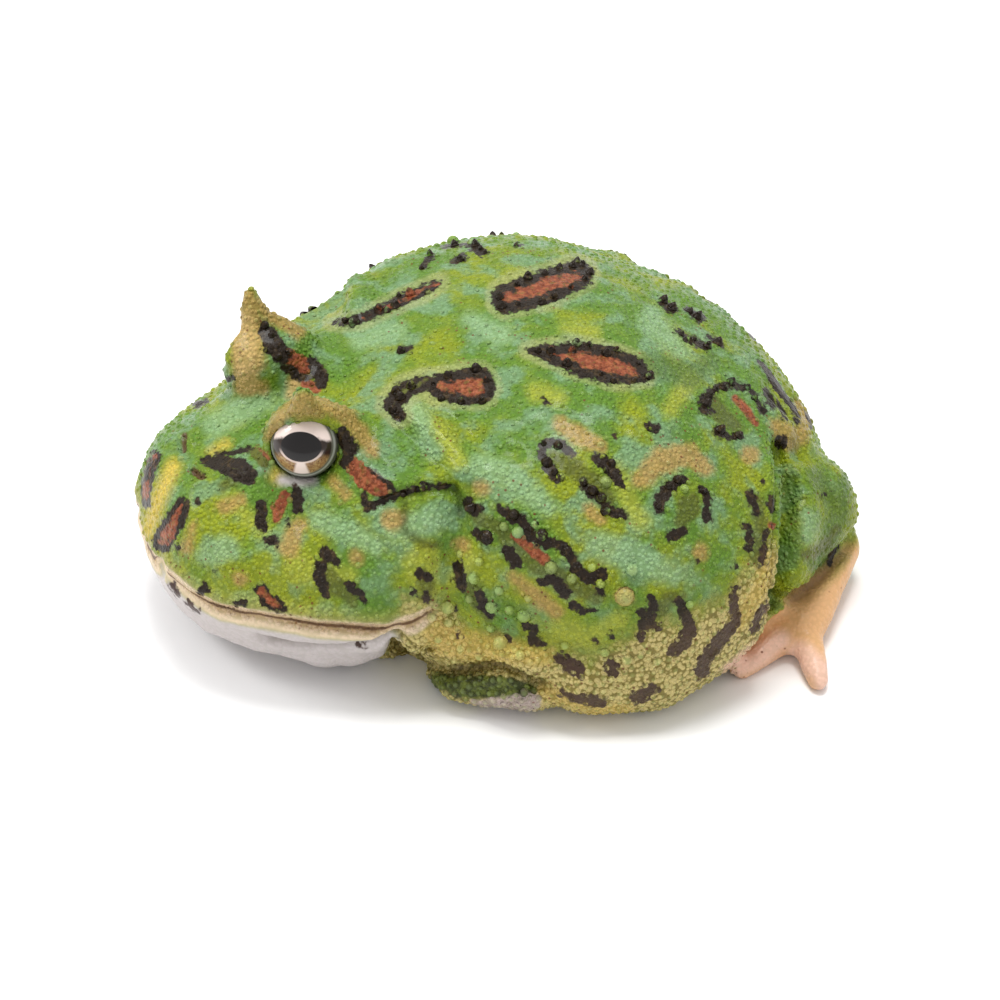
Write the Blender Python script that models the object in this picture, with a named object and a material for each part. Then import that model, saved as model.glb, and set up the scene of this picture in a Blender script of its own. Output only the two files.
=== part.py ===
"""Cranwell's horned frog, life size, crouched on its belly with its head towards -Y.

The flesh is modelled whole, as a lofted trunk with hulled limbs that a remesh blends, and is then
parted by thin cuts into the pieces that a person would name. The eyeballs and the horned lids are
solids of their own. The origin is on the floor, under the middle of the belly. Sizes are in
millimetres until each mesh is finished.
"""

import math

import bmesh
import bpy
import numpy as np
from mathutils import Matrix, Vector

MM = 0.001
GAP = 0.3

# Trunk sections from snout to vent: y, half width, underside z, top z, z of the widest line,
# and how square the section is above and below that line (1 is an ellipse, less is squarer)
TRUNK = (
    (-45.5, 0.0, 14.5, 14.5, 14.5, 1.0, 1.0),
    (-44.8, 6.5, 9.5, 20.0, 14.5, 1.0, 1.0),
    (-42.3, 12.5, 6.0, 24.2, 14.0, 0.98, 1.0),
    (-37.5, 18.0, 3.2, 26.8, 13.0, 1.0, 0.95),
    (-30.0, 23.0, 0.8, 29.2, 12.0, 0.98, 0.9),
    (-22.5, 26.5, 0.2, 32.0, 11.5, 0.9, 0.85),
    (-12.0, 30.5, 3.0, 34.2, 11.0, 0.8, 0.9),
    (-2.0, 36.8, 0.5, 35.8, 9.5, 0.8, 0.8),
    (8.0, 41.0, -1.0, 36.6, 8.5, 0.85, 0.7),
    (18.0, 40.5, -1.0, 35.2, 8.5, 0.88, 0.8),
    (28.0, 36.0, -1.0, 30.8, 11.0, 0.97, 1.0),
    (36.5, 28.5, -0.5, 26.3, 11.5, 0.95, 1.0),
    (42.0, 18.5, 1.5, 20.4, 10.5, 0.95, 1.0),
    (45.0, 9.0, 4.0, 14.0, 9.5, 1.0, 1.0),
    (46.3, 0.0, 8.5, 8.5, 8.5, 1.0, 1.0),
)
TRUNK_RINGS = 64
TRUNK_SIDES = 56

EYE = Vector((9.3, -26.6, 31.1))
EYE_RADIUS = 4.5
GAZE = Vector((0.93, -0.25, 0.27)).normalized()
LID_OPENING = 1.3
LID_OPENING_RADIUS = 4.1
LID_OPENING_DEPTH = 10.0
LID_OPENING_SPREAD = 3.0
NOSTRIL = Vector((4.4, -39.4, 25.6))
NOSTRIL_RADIUS = 0.75

# The left lid: the skin over the eyeball drawn out to a ridge, and the horn on it
LID = (
    (((9.0, -26.1, 30.9), 5.7), ((9.8, -21.6, 30.4), 3.2)),
    (
        ((11.0, -29.4, 33.6), 1.2),
        ((11.0, -27.3, 36.4), 1.2),
        ((10.6, -23.8, 35.6), 1.2),
        ((9.0, -20.8, 33.0), 1.3),
        ((5.2, -26.0, 30.3), 1.6),
    ),
    (((10.8, -27.0, 36.4), 2.0), ((11.6, -27.3, 40.2), 0.9)),
)
HORN_FOOT_Z = 37.0
LID_CENTRE = (9.9, -26.0)
LID_REACH = (6.4, 6.9)
LID_FOOT_Z = 29.2
LID_FOOT_SLOPE = 0.19
LID_SHARE_SIDES = 24

# Each limb piece on the left side: its hulls, each a run of balls of centre and radius
LIMBS = {
    "hand": (
        (((26.0, -12.5, 3.2), 3.3), ((19.5, -13.5, 2.3), (3.4, 3.6, 2.3))),
        (((19.5, -12.6, 2.0), 1.9), ((10.8, -10.6, 1.2), 1.25)),
        (((19.5, -13.5, 2.0), 1.9), ((9.8, -14.6, 1.2), 1.25)),
        (((19.5, -14.0, 2.0), 1.9), ((11.8, -18.4, 1.2), 1.25)),
        (((20.5, -14.5, 2.0), 1.9), ((17.0, -20.0, 1.2), 1.25)),
    ),
    "forearm": ((((31.5, -4.5, 5.6), 5.4), ((27.0, -12.0, 4.2), (4.2, 4.2, 3.9))),),
    "upper_arm": ((((20.0, -7.0, 13.0), 8.0), ((31.5, -4.5, 7.5), 6.3)),),
    "foot": (
        (((20.5, 42.0, 5.0), 3.6), ((31.0, 33.0, 2.9), (3.6, 3.6, 2.6))),
        (((31.0, 33.0, 2.6), (2.6, 2.6, 2.2)), ((41.5, 31.0, 1.2), 1.3)),
        (((31.0, 33.0, 2.6), (2.6, 2.6, 2.2)), ((36.0, 22.5, 1.2), 1.3)),
        (((30.0, 32.0, 2.4), (2.4, 2.4, 2.0)), ((30.5, 23.5, 1.2), 1.25)),
        (((29.0, 32.0, 2.4), (2.2, 2.2, 2.0)), ((26.5, 25.5, 1.2), 1.2)),
        (((28.0, 33.0, 2.4), (2.0, 2.0, 1.9)), ((24.0, 28.5, 1.2), 1.15)),
    ),
    "shank": ((((32.0, 14.0, 9.0), 8.0), ((18.6, 37.0, 10.6), (8.0, 8.3, 8.3))),),
    "thigh": ((((12.0, 33.0, 12.0), 9.0), ((32.5, 8.5, 8.6), 8.8)),),
}

# The left flank, which bulges over the knee down to the floor
FLANK = (
    (((34.2, 2.0, 6.4), 6.1), ((35.8, 10.0, 6.2), 6.2)),
    (((35.8, 10.0, 6.2), 6.2), ((33.0, 18.0, 7.3), 6.2)),
)

# What the cuts take for each limb piece, where more than its own hulls: balls out through the skin
SHARES = {
    "upper_arm": (((21.0, -8.0, 14.0), 8.0), ((32.0, -4.0, 8.0), 8.0), ((42.0, -7.0, 12.0), 8.0)),
    "forearm": (((32.0, -4.5, 4.6), 6.8), ((27.0, -12.0, 3.6), 5.6)),
    "shank": (
        ((18.0, 39.0, 11.0), 10.0),
        ((33.0, 25.0, 8.0), 7.5),
        ((42.0, 34.0, 10.0), 9.0),
        ((29.0, 38.0, 18.0), 6.5),
    ),
    "thigh": (
        ((15.0, 29.0, 11.0), 7.0),
        ((33.5, 8.0, 8.0), 9.6),
        ((47.0, 10.0, 7.0), 9.0),
        ((46.0, 25.0, 8.5), 7.6),
    ),
}
MARGIN = 1.0
LIMB_ORDER = ("hand", "forearm", "foot", "shank", "thigh", "upper_arm")

# A place outside the frog on every side, for the far faces of the cuts
BEYOND = 60.0

# The mouth line on the left side, from the middle of the snout to the corner
MOUTH = (
    (0.0, -45.4, 12.9),
    (6.6, -44.5, 12.9),
    (11.5, -42.6, 12.9),
    (15.0, -40.3, 12.9),
    (19.0, -36.1, 13.2),
    (22.9, -30.0, 13.3),
    (26.6, -22.0, 13.4),
    (28.4, -16.6, 15.0),
)
JAW_FOOT_Y = -7.0
NAPE = (-9.5, 37.0)

# Furrows and folds on the left side: width, height (less than 0 is a furrow), and their run
FOLDS = {
    "mouth": (0.8, -0.6, MOUTH),
    "upper_lip": (1.2, 0.5, tuple((x, y, z + 1.5) for x, y, z in MOUTH[:-1])),
    "lower_lip": (1.2, 0.4, tuple((x, y, z - 1.5) for x, y, z in MOUTH[:-1])),
    "brow_valley": (4.5, -1.6, ((0.0, -38.0, 26.5), (0.0, -29.0, 29.5), (0.0, -20.0, 31.5))),
    "snout_edge": (1.6, 0.8, ((9.5, -33.0, 30.0), (5.0, -40.0, 25.8))),
    "cheek_hollow": (3.0, -0.7, ((13.0, -36.5, 23.5), (16.5, -32.0, 24.5))),
    "neck": (2.0, -1.5, ((29.5, -14.5, 13.5), (27.3, -13.8, 21.0), (24.5, -12.3, 25.5))),
    "ear_fold": (1.3, 0.8, ((14.3, -21.0, 30.0), (19.0, -18.6, 28.6), (22.2, -11.3, 30.0))),
    "back_ridge": (1.8, 0.9, ((11.1, -13.0, 33.3), (16.0, -11.0, 32.5), (22.4, -9.3, 30.0))),
    "shoulder": (6.0, 1.2, ((24.6, -4.9, 30.4), (29.0, -2.0, 24.0))),
    "flank_edge": (
        2.3,
        -2.3,
        ((26.0, 33.0, 21.5), (31.0, 31.2, 19.5), (35.7, 28.0, 15.0), (36.5, 27.5, 8.0)),
    ),
    "rump_1": (1.1, -0.5, ((10.0, 36.0, 25.8), (17.5, 37.6, 21.5))),
    "rump_2": (1.1, -0.5, ((7.0, 39.5, 23.0), (14.5, 41.0, 18.0))),
    "vent": (2.5, 1.0, ((-1.0, 46.0, 9.0), (1.0, 46.0, 9.0))),
}

# Each ball of a hull is turned by a step about a slanting line, so that no two lie level
SKEW = 0.7
SKEW_AXIS = Vector((0.3, 0.5, 0.8))

VOXEL = 0.6
BLEND_ROUNDS = 9
FLESH_TRIANGLES = 6000
FLOOR_REACH = 0.5
FACES_DOWN = -0.5
WELD = 0.001
EYE_SEGMENTS = 22
EYE_RINGS = 12
SHARP_EDGE = math.radians(40)
SKIN_ROUGHNESS = 0.45
EYE_ROUGHNESS = 0.1

SKIN_COLOURS = {
    "head": (0.16, 0.30, 0.09),
    "lower_jaw": (0.52, 0.46, 0.42),
    "torso": (0.17, 0.30, 0.08),
    "eyelid": (0.42, 0.28, 0.11),
    "upper_arm": (0.38, 0.36, 0.12),
    "forearm": (0.20, 0.26, 0.08),
    "hand": (0.50, 0.42, 0.38),
    "thigh": (0.30, 0.33, 0.11),
    "shank": (0.16, 0.29, 0.10),
    "foot": (0.55, 0.36, 0.22),
    "eye": (0.03, 0.02, 0.015),
}


def smooth_row(rows, share):
    """The row at a share, from 0 to 1, of the way along a smooth curve through all the rows."""
    place = share * (len(rows) - 1)
    first = min(int(place), len(rows) - 2)
    u = place - first
    near = [np.array(rows[min(max(k, 0), len(rows) - 1)]) for k in range(first - 1, first + 3)]
    p0, p1, p2, p3 = near
    bend = (2 * p0 - 5 * p1 + 4 * p2 - p3) * u**2 + (3 * (p1 - p2) + p3 - p0) * u**3
    return 0.5 * (2 * p1 + (p2 - p0) * u + bend)


def signed_power(value, power):
    return math.copysign(abs(value) ** power, value)


def trunk():
    """Head and torso as one loft of rounded sections, flat where it lies on the floor."""
    bm = bmesh.new()
    rings = []
    for i in range(1, TRUNK_RINGS):
        y, half, low, high, wide, square_top, square_low = smooth_row(TRUNK, i / TRUNK_RINGS)
        ring = []
        for k in range(TRUNK_SIDES):
            angle = 2 * math.pi * k / TRUNK_SIDES
            above = math.cos(angle) > 0
            square = square_top if above else square_low
            reach = high - wide if above else wide - low
            x = half * signed_power(math.sin(angle), square)
            z = wide + reach * signed_power(math.cos(angle), square)
            ring.append(bm.verts.new((x, y, max(z, 0.0))))
        rings.append(ring)
    for first, second in zip(rings, rings[1:]):
        for k in range(TRUNK_SIDES):
            n = (k + 1) % TRUNK_SIDES
            bm.faces.new((first[k], second[k], second[n], first[n]))
    for ring, row in ((rings[0], TRUNK[0]), (rings[-1], TRUNK[-1])):
        tip = bm.verts.new((0, row[0], row[2]))
        for k in range(TRUNK_SIDES):
            bm.faces.new((tip, ring[k], ring[(k + 1) % TRUNK_SIDES]))
    bmesh.ops.recalc_face_normals(bm, faces=bm.faces)
    return bm


def hull(balls, margin=0.0, subdivisions=3):
    """The hull round some balls, each a centre and a radius or three radii, grown by a margin."""
    bm = bmesh.new()
    for k, (centre, radius) in enumerate(balls):
        radii = radius if hasattr(radius, "__len__") else (radius,) * 3
        size = Matrix.Diagonal((*(r + margin for r in radii), 1))
        place = Matrix.Translation(centre) @ size @ Matrix.Rotation(SKEW * (k + 1), 4, SKEW_AXIS)
        bmesh.ops.create_icosphere(bm, subdivisions=subdivisions, radius=1, matrix=place)
    bmesh.ops.delete(bm, geom=bm.edges[:], context="EDGES_FACES")
    made = bmesh.ops.convex_hull(bm, input=bm.verts)
    inside = [item for item in made["geom_interior"] if isinstance(item, bmesh.types.BMVert)]
    bmesh.ops.delete(bm, geom=inside, context="VERTS")
    return bm


def mirrored(piece):
    other = piece.copy()
    bmesh.ops.scale(other, vec=(-1, 1, 1), verts=other.verts)
    bmesh.ops.reverse_faces(other, faces=other.faces)
    return other


def both_sides(piece):
    return [piece, mirrored(piece)]


def joined(pieces):
    whole = bmesh.new()
    for piece in pieces:
        spare = bpy.data.meshes.new("spare")
        piece.to_mesh(spare)
        piece.free()
        whole.from_mesh(spare)
        bpy.data.meshes.remove(spare)
    return whole


def object_from(name, bm):
    mesh = bpy.data.meshes.new(name)
    bm.to_mesh(mesh)
    bm.free()
    obj = bpy.data.objects.new(name, mesh)
    bpy.context.scene.collection.objects.link(obj)
    return obj


def apply_modifiers(obj):
    graph = bpy.context.evaluated_depsgraph_get()
    mesh = bpy.data.meshes.new_from_object(obj.evaluated_get(graph))
    obj.modifiers.clear()
    obj.data = mesh


def whole_flesh():
    """Trunk, limbs, lids and horns in one skin, blended where they meet and folded like the frog's."""
    pieces = [trunk()]
    for balls in (hulls for limb in LIMBS.values() for hulls in limb):
        pieces += both_sides(hull(balls))
    for balls in (*LID, *FLANK):
        pieces += both_sides(hull(balls))
    flesh = object_from("flesh", joined(pieces))
    remesh = flesh.modifiers.new("remesh", "REMESH")
    remesh.mode = "VOXEL"
    remesh.voxel_size = VOXEL
    apply_modifiers(flesh)
    blend(flesh)
    fold(flesh)
    thin = flesh.modifiers.new("thin", "DECIMATE")
    thin.ratio = FLESH_TRIANGLES / (2 * len(flesh.data.polygons))
    apply_modifiers(flesh)
    settle(flesh)
    return flesh


def blend(flesh):
    """Smooth the joins between the hulls, but leave the horns sharp."""
    places = coordinates(flesh.data)
    group = flesh.vertex_groups.new(name="soft")
    soft = np.nonzero(places[:, 2] < HORN_FOOT_Z)[0]
    group.add(soft.tolist(), 1.0, "REPLACE")
    smooth = flesh.modifiers.new("smooth", "SMOOTH")
    smooth.iterations = BLEND_ROUNDS
    smooth.vertex_group = group.name
    apply_modifiers(flesh)


def coordinates(mesh):
    places = np.empty(3 * len(mesh.vertices), np.float32)
    mesh.vertices.foreach_get("co", places)
    return places.reshape(-1, 3).astype(float)


def distance_to_run(places, run):
    """How far each place is from the nearest point of a run of straight lines."""
    nearest = np.full(len(places), np.inf)
    for start, end in zip(run, run[1:]):
        a, along = np.array(start), np.subtract(end, start)
        share = np.clip((places - a) @ along / (along @ along), 0, 1)
        nearest = np.minimum(nearest, np.linalg.norm(places - a - share[:, None] * along, axis=1))
    return nearest


def fold(flesh):
    """Raise the folds and sink the furrows, alike on both sides."""
    mesh = flesh.data
    places = coordinates(mesh)
    normals = np.empty(3 * len(mesh.vertices), np.float32)
    mesh.vertex_normals.foreach_get("vector", normals)
    folded = places * (-1, 1, 1)
    folded[:, 0] = np.abs(places[:, 0])
    lift = np.zeros(len(places))
    for width, height, run in FOLDS.values():
        lift += height * np.exp(-((distance_to_run(folded, run) / width) ** 2))
    places += lift[:, None] * normals.reshape(-1, 3)
    mesh.vertices.foreach_set("co", places.astype(np.float32).ravel())
    mesh.update()


def settle(flesh):
    """Press what faces the floor and nearly reaches it flat onto it."""
    for vertex in flesh.data.vertices:
        if vertex.co.z < 0 or (vertex.co.z < FLOOR_REACH and vertex.normal.z < FACES_DOWN):
            vertex.co.z = 0.0


def boolean(target, cutter, operation):
    cut = target.modifiers.new(operation.lower(), "BOOLEAN")
    cut.operation = operation
    cut.object = cutter
    apply_modifiers(target)


def largest_body(obj):
    """Keep only the largest closed surface of an object, which drops scraps and sealed hollows."""
    bm = bmesh.new()
    bm.from_mesh(obj.data)
    unseen = set(bm.verts)
    bodies = []
    while unseen:
        body, edge = set(), [unseen.pop()]
        while edge:
            vertex = edge.pop()
            body.add(vertex)
            near = {e.other_vert(vertex) for e in vertex.link_edges} & unseen
            unseen -= near
            edge += near
        bodies.append(body)
    keep = max(bodies, key=len)
    spare = [v for v in bm.verts if v not in keep]
    bmesh.ops.delete(bm, geom=spare, context="VERTS")
    bmesh.ops.dissolve_degenerate(bm, dist=WELD, edges=bm.edges)
    bm.to_mesh(obj.data)
    bm.free()


def copy_of(obj, name):
    other = bpy.data.objects.new(name, obj.data.copy())
    bpy.context.scene.collection.objects.link(other)
    return other


def remove(*objects):
    for obj in objects:
        bpy.data.objects.remove(obj)


def part_off(body, name, inner, outer):
    """Cut a node out of a body: inner is what the node takes, and outer leaves the gap round it."""
    node = copy_of(body, name)
    boolean(node, inner, "INTERSECT")
    boolean(body, outer, "DIFFERENCE")
    largest_body(node)
    largest_body(body)
    remove(inner, outer)
    return node


def limb_share(limb, side, grown):
    """The space that a limb piece takes from the flesh."""
    if limb in SHARES:
        pieces = [hull(SHARES[limb], grown, subdivisions=2)]
    else:
        pieces = [hull(balls, MARGIN + grown, subdivisions=1) for balls in LIMBS[limb]]
    if side < 0:
        pieces = [mirrored(piece) for piece in pieces]
    first, *others = [object_from(f"share_{k}", piece) for k, piece in enumerate(pieces)]
    for other in others:
        boolean(first, other, "UNION")
        remove(other)
    return first


def prism(name, outline):
    """A solid right across the frog from an outline of y and z places."""
    bm = bmesh.new()
    face = bm.faces.new([bm.verts.new((-BEYOND, y, z)) for y, z in outline])
    made = bmesh.ops.extrude_face_region(bm, geom=[face])
    moved = [v for v in made["geom"] if isinstance(v, bmesh.types.BMVert)]
    bmesh.ops.translate(bm, vec=(2 * BEYOND, 0.0, 0.0), verts=moved)
    bmesh.ops.recalc_face_normals(bm, faces=bm.faces)
    return object_from(name, bm)


def jaw_share(grown):
    corner_y, corner_z = MOUTH[-1][1:]
    line = [(y, z + grown) for x, y, z in MOUTH[:-1]]
    line += [(corner_y + grown, corner_z + grown), (JAW_FOOT_Y + grown, -BEYOND)]
    return prism("jaw_share", [(-BEYOND, -BEYOND), (-BEYOND, line[0][1]), *line])


def head_share(grown):
    corner_y, corner_z = MOUTH[-1][1:]
    slope = (NAPE[0] - corner_y) / (NAPE[1] - corner_z)
    top_y = NAPE[0] + (BEYOND - NAPE[1]) * slope + grown
    foot_y = corner_y - (corner_z + BEYOND) * slope + grown
    return prism("head_share", [(-BEYOND, -BEYOND), (-BEYOND, BEYOND), (top_y, BEYOND), (foot_y, -BEYOND)])


def lid_share(side, grown):
    """The space round the left or right lid and horn, above the middle of the eye."""
    bm = bmesh.new()
    for k in range(LID_SHARE_SIDES):
        angle = 2 * math.pi * k / LID_SHARE_SIDES
        x = LID_CENTRE[0] + (LID_REACH[0] + grown) * math.cos(angle)
        y = LID_CENTRE[1] + (LID_REACH[1] + grown) * math.sin(angle)
        bm.verts.new((x, y, LID_FOOT_Z + LID_FOOT_SLOPE * x - grown))
        bm.verts.new((x, y, BEYOND))
    bmesh.ops.convex_hull(bm, input=bm.verts)
    if side < 0:
        bm = mirrored(bm)
    return object_from("lid_share", bm)


def ball(centre, radius):
    bm = bmesh.new()
    bmesh.ops.create_icosphere(bm, subdivisions=3, radius=radius, matrix=Matrix.Translation(centre))
    return bm


def open_eye(flesh, side):
    """Hollow the socket and open the lids round it, and sink the nostril."""
    outside = EYE + LID_OPENING_DEPTH * GAZE
    window = hull(
        ((EYE + LID_OPENING * GAZE, LID_OPENING_RADIUS), (outside, LID_OPENING_RADIUS + LID_OPENING_SPREAD))
    )
    for bm in (ball(EYE, EYE_RADIUS + GAP), window, ball(NOSTRIL, NOSTRIL_RADIUS)):
        cutter = object_from("cutter", mirrored(bm) if side < 0 else bm)
        boolean(flesh, cutter, "DIFFERENCE")
        remove(cutter)


def eyeball(side):
    bm = bmesh.new()
    place = Matrix.Translation(EYE) @ GAZE.to_track_quat("Z", "Y").to_matrix().to_4x4()
    size = {"u_segments": EYE_SEGMENTS, "v_segments": EYE_RINGS, "radius": EYE_RADIUS}
    bmesh.ops.create_uvsphere(bm, matrix=place, **size)
    return mirrored(bm) if side < 0 else bm


def finish(obj):
    """Give an object its own material, smooth its faces, and bring it to metres."""
    kind = obj.name.replace("_left", "").replace("_right", "")
    material = bpy.data.materials.new(obj.name)
    material.use_nodes = True
    shader = material.node_tree.nodes["Principled BSDF"]
    shader.inputs["Base Color"].default_value = (*SKIN_COLOURS[kind], 1.0)
    shader.inputs["Roughness"].default_value = EYE_ROUGHNESS if kind == "eye" else SKIN_ROUGHNESS
    shader.inputs["Metallic"].default_value = 0.0
    obj.data.materials.clear()
    obj.data.materials.append(material)
    obj.data.shade_smooth()
    obj.data.set_sharp_from_angle(angle=SHARP_EDGE)
    obj.data.transform(Matrix.Scale(MM, 4))


def main():
    for obj in list(bpy.data.objects):
        bpy.data.objects.remove(obj)
    torso = whole_flesh()
    torso.name = "torso"
    for side, word in ((1, "left"), (-1, "right")):
        for limb in LIMB_ORDER:
            part_off(torso, f"{limb}_{word}", limb_share(limb, side, 0.0), limb_share(limb, side, GAP))
        open_eye(torso, side)
        part_off(torso, f"eyelid_{word}", lid_share(side, 0.0), lid_share(side, GAP))
        object_from(f"eye_{word}", eyeball(side))
    part_off(torso, "lower_jaw", jaw_share(0.0), jaw_share(GAP))
    part_off(torso, "head", head_share(0.0), head_share(GAP))
    for obj in bpy.data.objects:
        finish(obj)


if __name__ == "__main__":
    main()
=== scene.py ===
"""Looks of the Cranwell's horned frog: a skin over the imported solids, with markings, warts and eyes.

Lengths are in millimetres until a mesh is written, and the frame is in metres. The head points
towards -Y, the frog's left is +X, and the origin is on the floor under the belly. The markings are
placed by the pixels of the photograph that they show at, through the camera, on the skin itself.
"""

from __future__ import annotations

import logging
import math
from collections.abc import Sequence
from dataclasses import dataclass, field
from enum import Enum

import bmesh
import bpy
import numpy as np
from mathutils import Matrix, Vector, noise
from mathutils.bvhtree import BVHTree

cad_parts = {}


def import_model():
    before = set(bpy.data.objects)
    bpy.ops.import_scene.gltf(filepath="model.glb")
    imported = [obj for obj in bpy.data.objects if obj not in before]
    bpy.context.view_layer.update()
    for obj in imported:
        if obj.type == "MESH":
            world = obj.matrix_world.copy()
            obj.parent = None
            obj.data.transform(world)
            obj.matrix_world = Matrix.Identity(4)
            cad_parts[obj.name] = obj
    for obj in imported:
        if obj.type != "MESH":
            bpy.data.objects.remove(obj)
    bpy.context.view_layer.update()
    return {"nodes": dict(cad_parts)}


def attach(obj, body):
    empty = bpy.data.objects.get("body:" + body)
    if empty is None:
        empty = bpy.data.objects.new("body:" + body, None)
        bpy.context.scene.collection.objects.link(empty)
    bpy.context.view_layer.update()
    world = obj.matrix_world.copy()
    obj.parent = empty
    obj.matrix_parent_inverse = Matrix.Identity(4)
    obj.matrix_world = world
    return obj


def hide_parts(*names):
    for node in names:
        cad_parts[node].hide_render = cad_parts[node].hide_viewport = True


MM = 0.001
FLESH = (
    "head",
    "lower_jaw",
    "torso",
    *(f"{part}_{side}" for part in ("eyelid", "upper_arm", "forearm", "hand") for side in ("left", "right")),
    *(f"{part}_{side}" for part in ("thigh", "shank", "foot") for side in ("left", "right")),
)
EYE_CENTRE = np.array((9.3, -26.6, 31.1))
EYE_RADIUS = 4.5
GAZE = np.array((0.85, -0.38, 0.46)) / np.linalg.norm((0.85, -0.38, 0.46))

# How far from a marking its distance is still kept
FAR = 4.0
# How much longer than it looks a marking may be, on skin that is seen on the slant
SLANT_REACH = 2.2
# How far to the frog's left a marking lies that has a copy on its right
MIRRORED_FROM = 11.0
# The photograph's scale at the frog, and the one for large warts, whose feet are wider than they look
PIXELS_PER_MM = 7.5
KNOB_PIXELS_PER_MM = 6.0

log = logging.getLogger("horned_frog")

Pixel = tuple[float, float]
Disc = tuple[float, float, float]
Point = tuple[float, float, float]


class Side(Enum):
    """The frog's left and right, as the sign of x."""

    LEFT = 1
    RIGHT = -1

    @property
    def word(self) -> str:
        """The side's name in the names of pieces."""
        return self.name.lower()


class Heart(Enum):
    """What a dark blotch has inside its rim."""

    DARK = "dark"
    RUST = "rust"
    OLIVE = "olive"


@dataclass(frozen=True)
class Blotch:
    """A dark marking: discs in the photograph that run into each other, and what their rim encloses."""

    discs: tuple[Disc, ...]
    heart: Heart = Heart.DARK
    rim: float = 0.9


@dataclass(frozen=True)
class Patch:
    """A soft patch of colour: discs in the photograph that run into each other."""

    discs: tuple[Disc, ...]


BACK_BLOTCHES = (
    Blotch(
        ((334, 323, 3), (358, 320, 5), (378, 311, 5), (400, 301, 6.5), (422, 291, 6), (439, 283, 3)),
        Heart.RUST,
        0.7,
    ),
    Blotch(((506, 299, 15), (543, 288, 18), (578, 275, 15)), Heart.RUST, 1.3),
    Blotch(
        ((528, 350, 3), (550, 353, 10), (580, 359, 17), (612, 366, 19), (634, 370, 14), (644, 376, 7)),
        Heart.RUST,
        1.3,
    ),
    Blotch(((400, 417, 6), (392, 404, 10), (405, 390, 9), (425, 382, 8)), Heart.OLIVE, 1.1),
    Blotch(((442, 387, 14), (476, 386, 20)), Heart.RUST, 1.3),
    Blotch(((400, 351, 3.5), (406, 350, 4), (411, 348, 3))),
    Blotch(((422, 268, 3), (431, 257, 4))),
    Blotch(((453, 262, 3.5), (463, 257, 4))),
    Blotch(((473, 247, 5), (483, 252, 5))),
    Blotch(((443, 247, 2.5), (468, 244, 2.5))),
    Blotch(((578, 240, 3), (592, 245, 4), (612, 248, 4))),
    Blotch(((656, 268, 3.5),)),
    Blotch(((515, 246, 2), (521, 245.5, 2))),
    Blotch(((662, 303, 3.5), (672, 309, 5.5))),
    Blotch(((686, 309, 3), (700, 318, 5.5))),
    Blotch(((677, 331, 3), (692, 341, 4.5), (708, 348, 3.5))),
    Blotch(((709, 337, 3), (722, 346, 3))),
    Blotch(((543, 399, 2.5), (548, 405, 2.5))),
    Blotch(((646, 424, 4), (655, 429, 5))),
    Blotch(((613, 436, 3.5),)),
)
RUMP_BLOTCHES = (
    Blotch(((745, 388, 4), (730, 385, 4), (716, 387, 4), (704, 398, 5), (703, 410, 5), (712, 412, 3))),
    Blotch(((718, 432, 5.5), (730, 437, 4), (741, 436, 3.5))),
    Blotch(((752, 392, 3), (764, 412, 4))),
    Blotch(((765, 388, 3), (772, 405, 4))),
    Blotch(((781, 442, 7),)),
    Blotch(((776, 400, 2.5), (786, 418, 2.5))),
    Blotch(((790, 404, 2), (798, 424, 2.5))),
    Blotch(((806, 412, 2), (812, 428, 2))),
    Blotch(((848, 468, 3), (852, 480, 3))),
    Blotch(((862, 505, 2.5), (858, 520, 2.5))),
    Blotch(((822, 497, 2), (830, 492, 1.6))),
    Blotch(((838, 606, 3.5), (836, 614, 3))),
)
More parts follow.
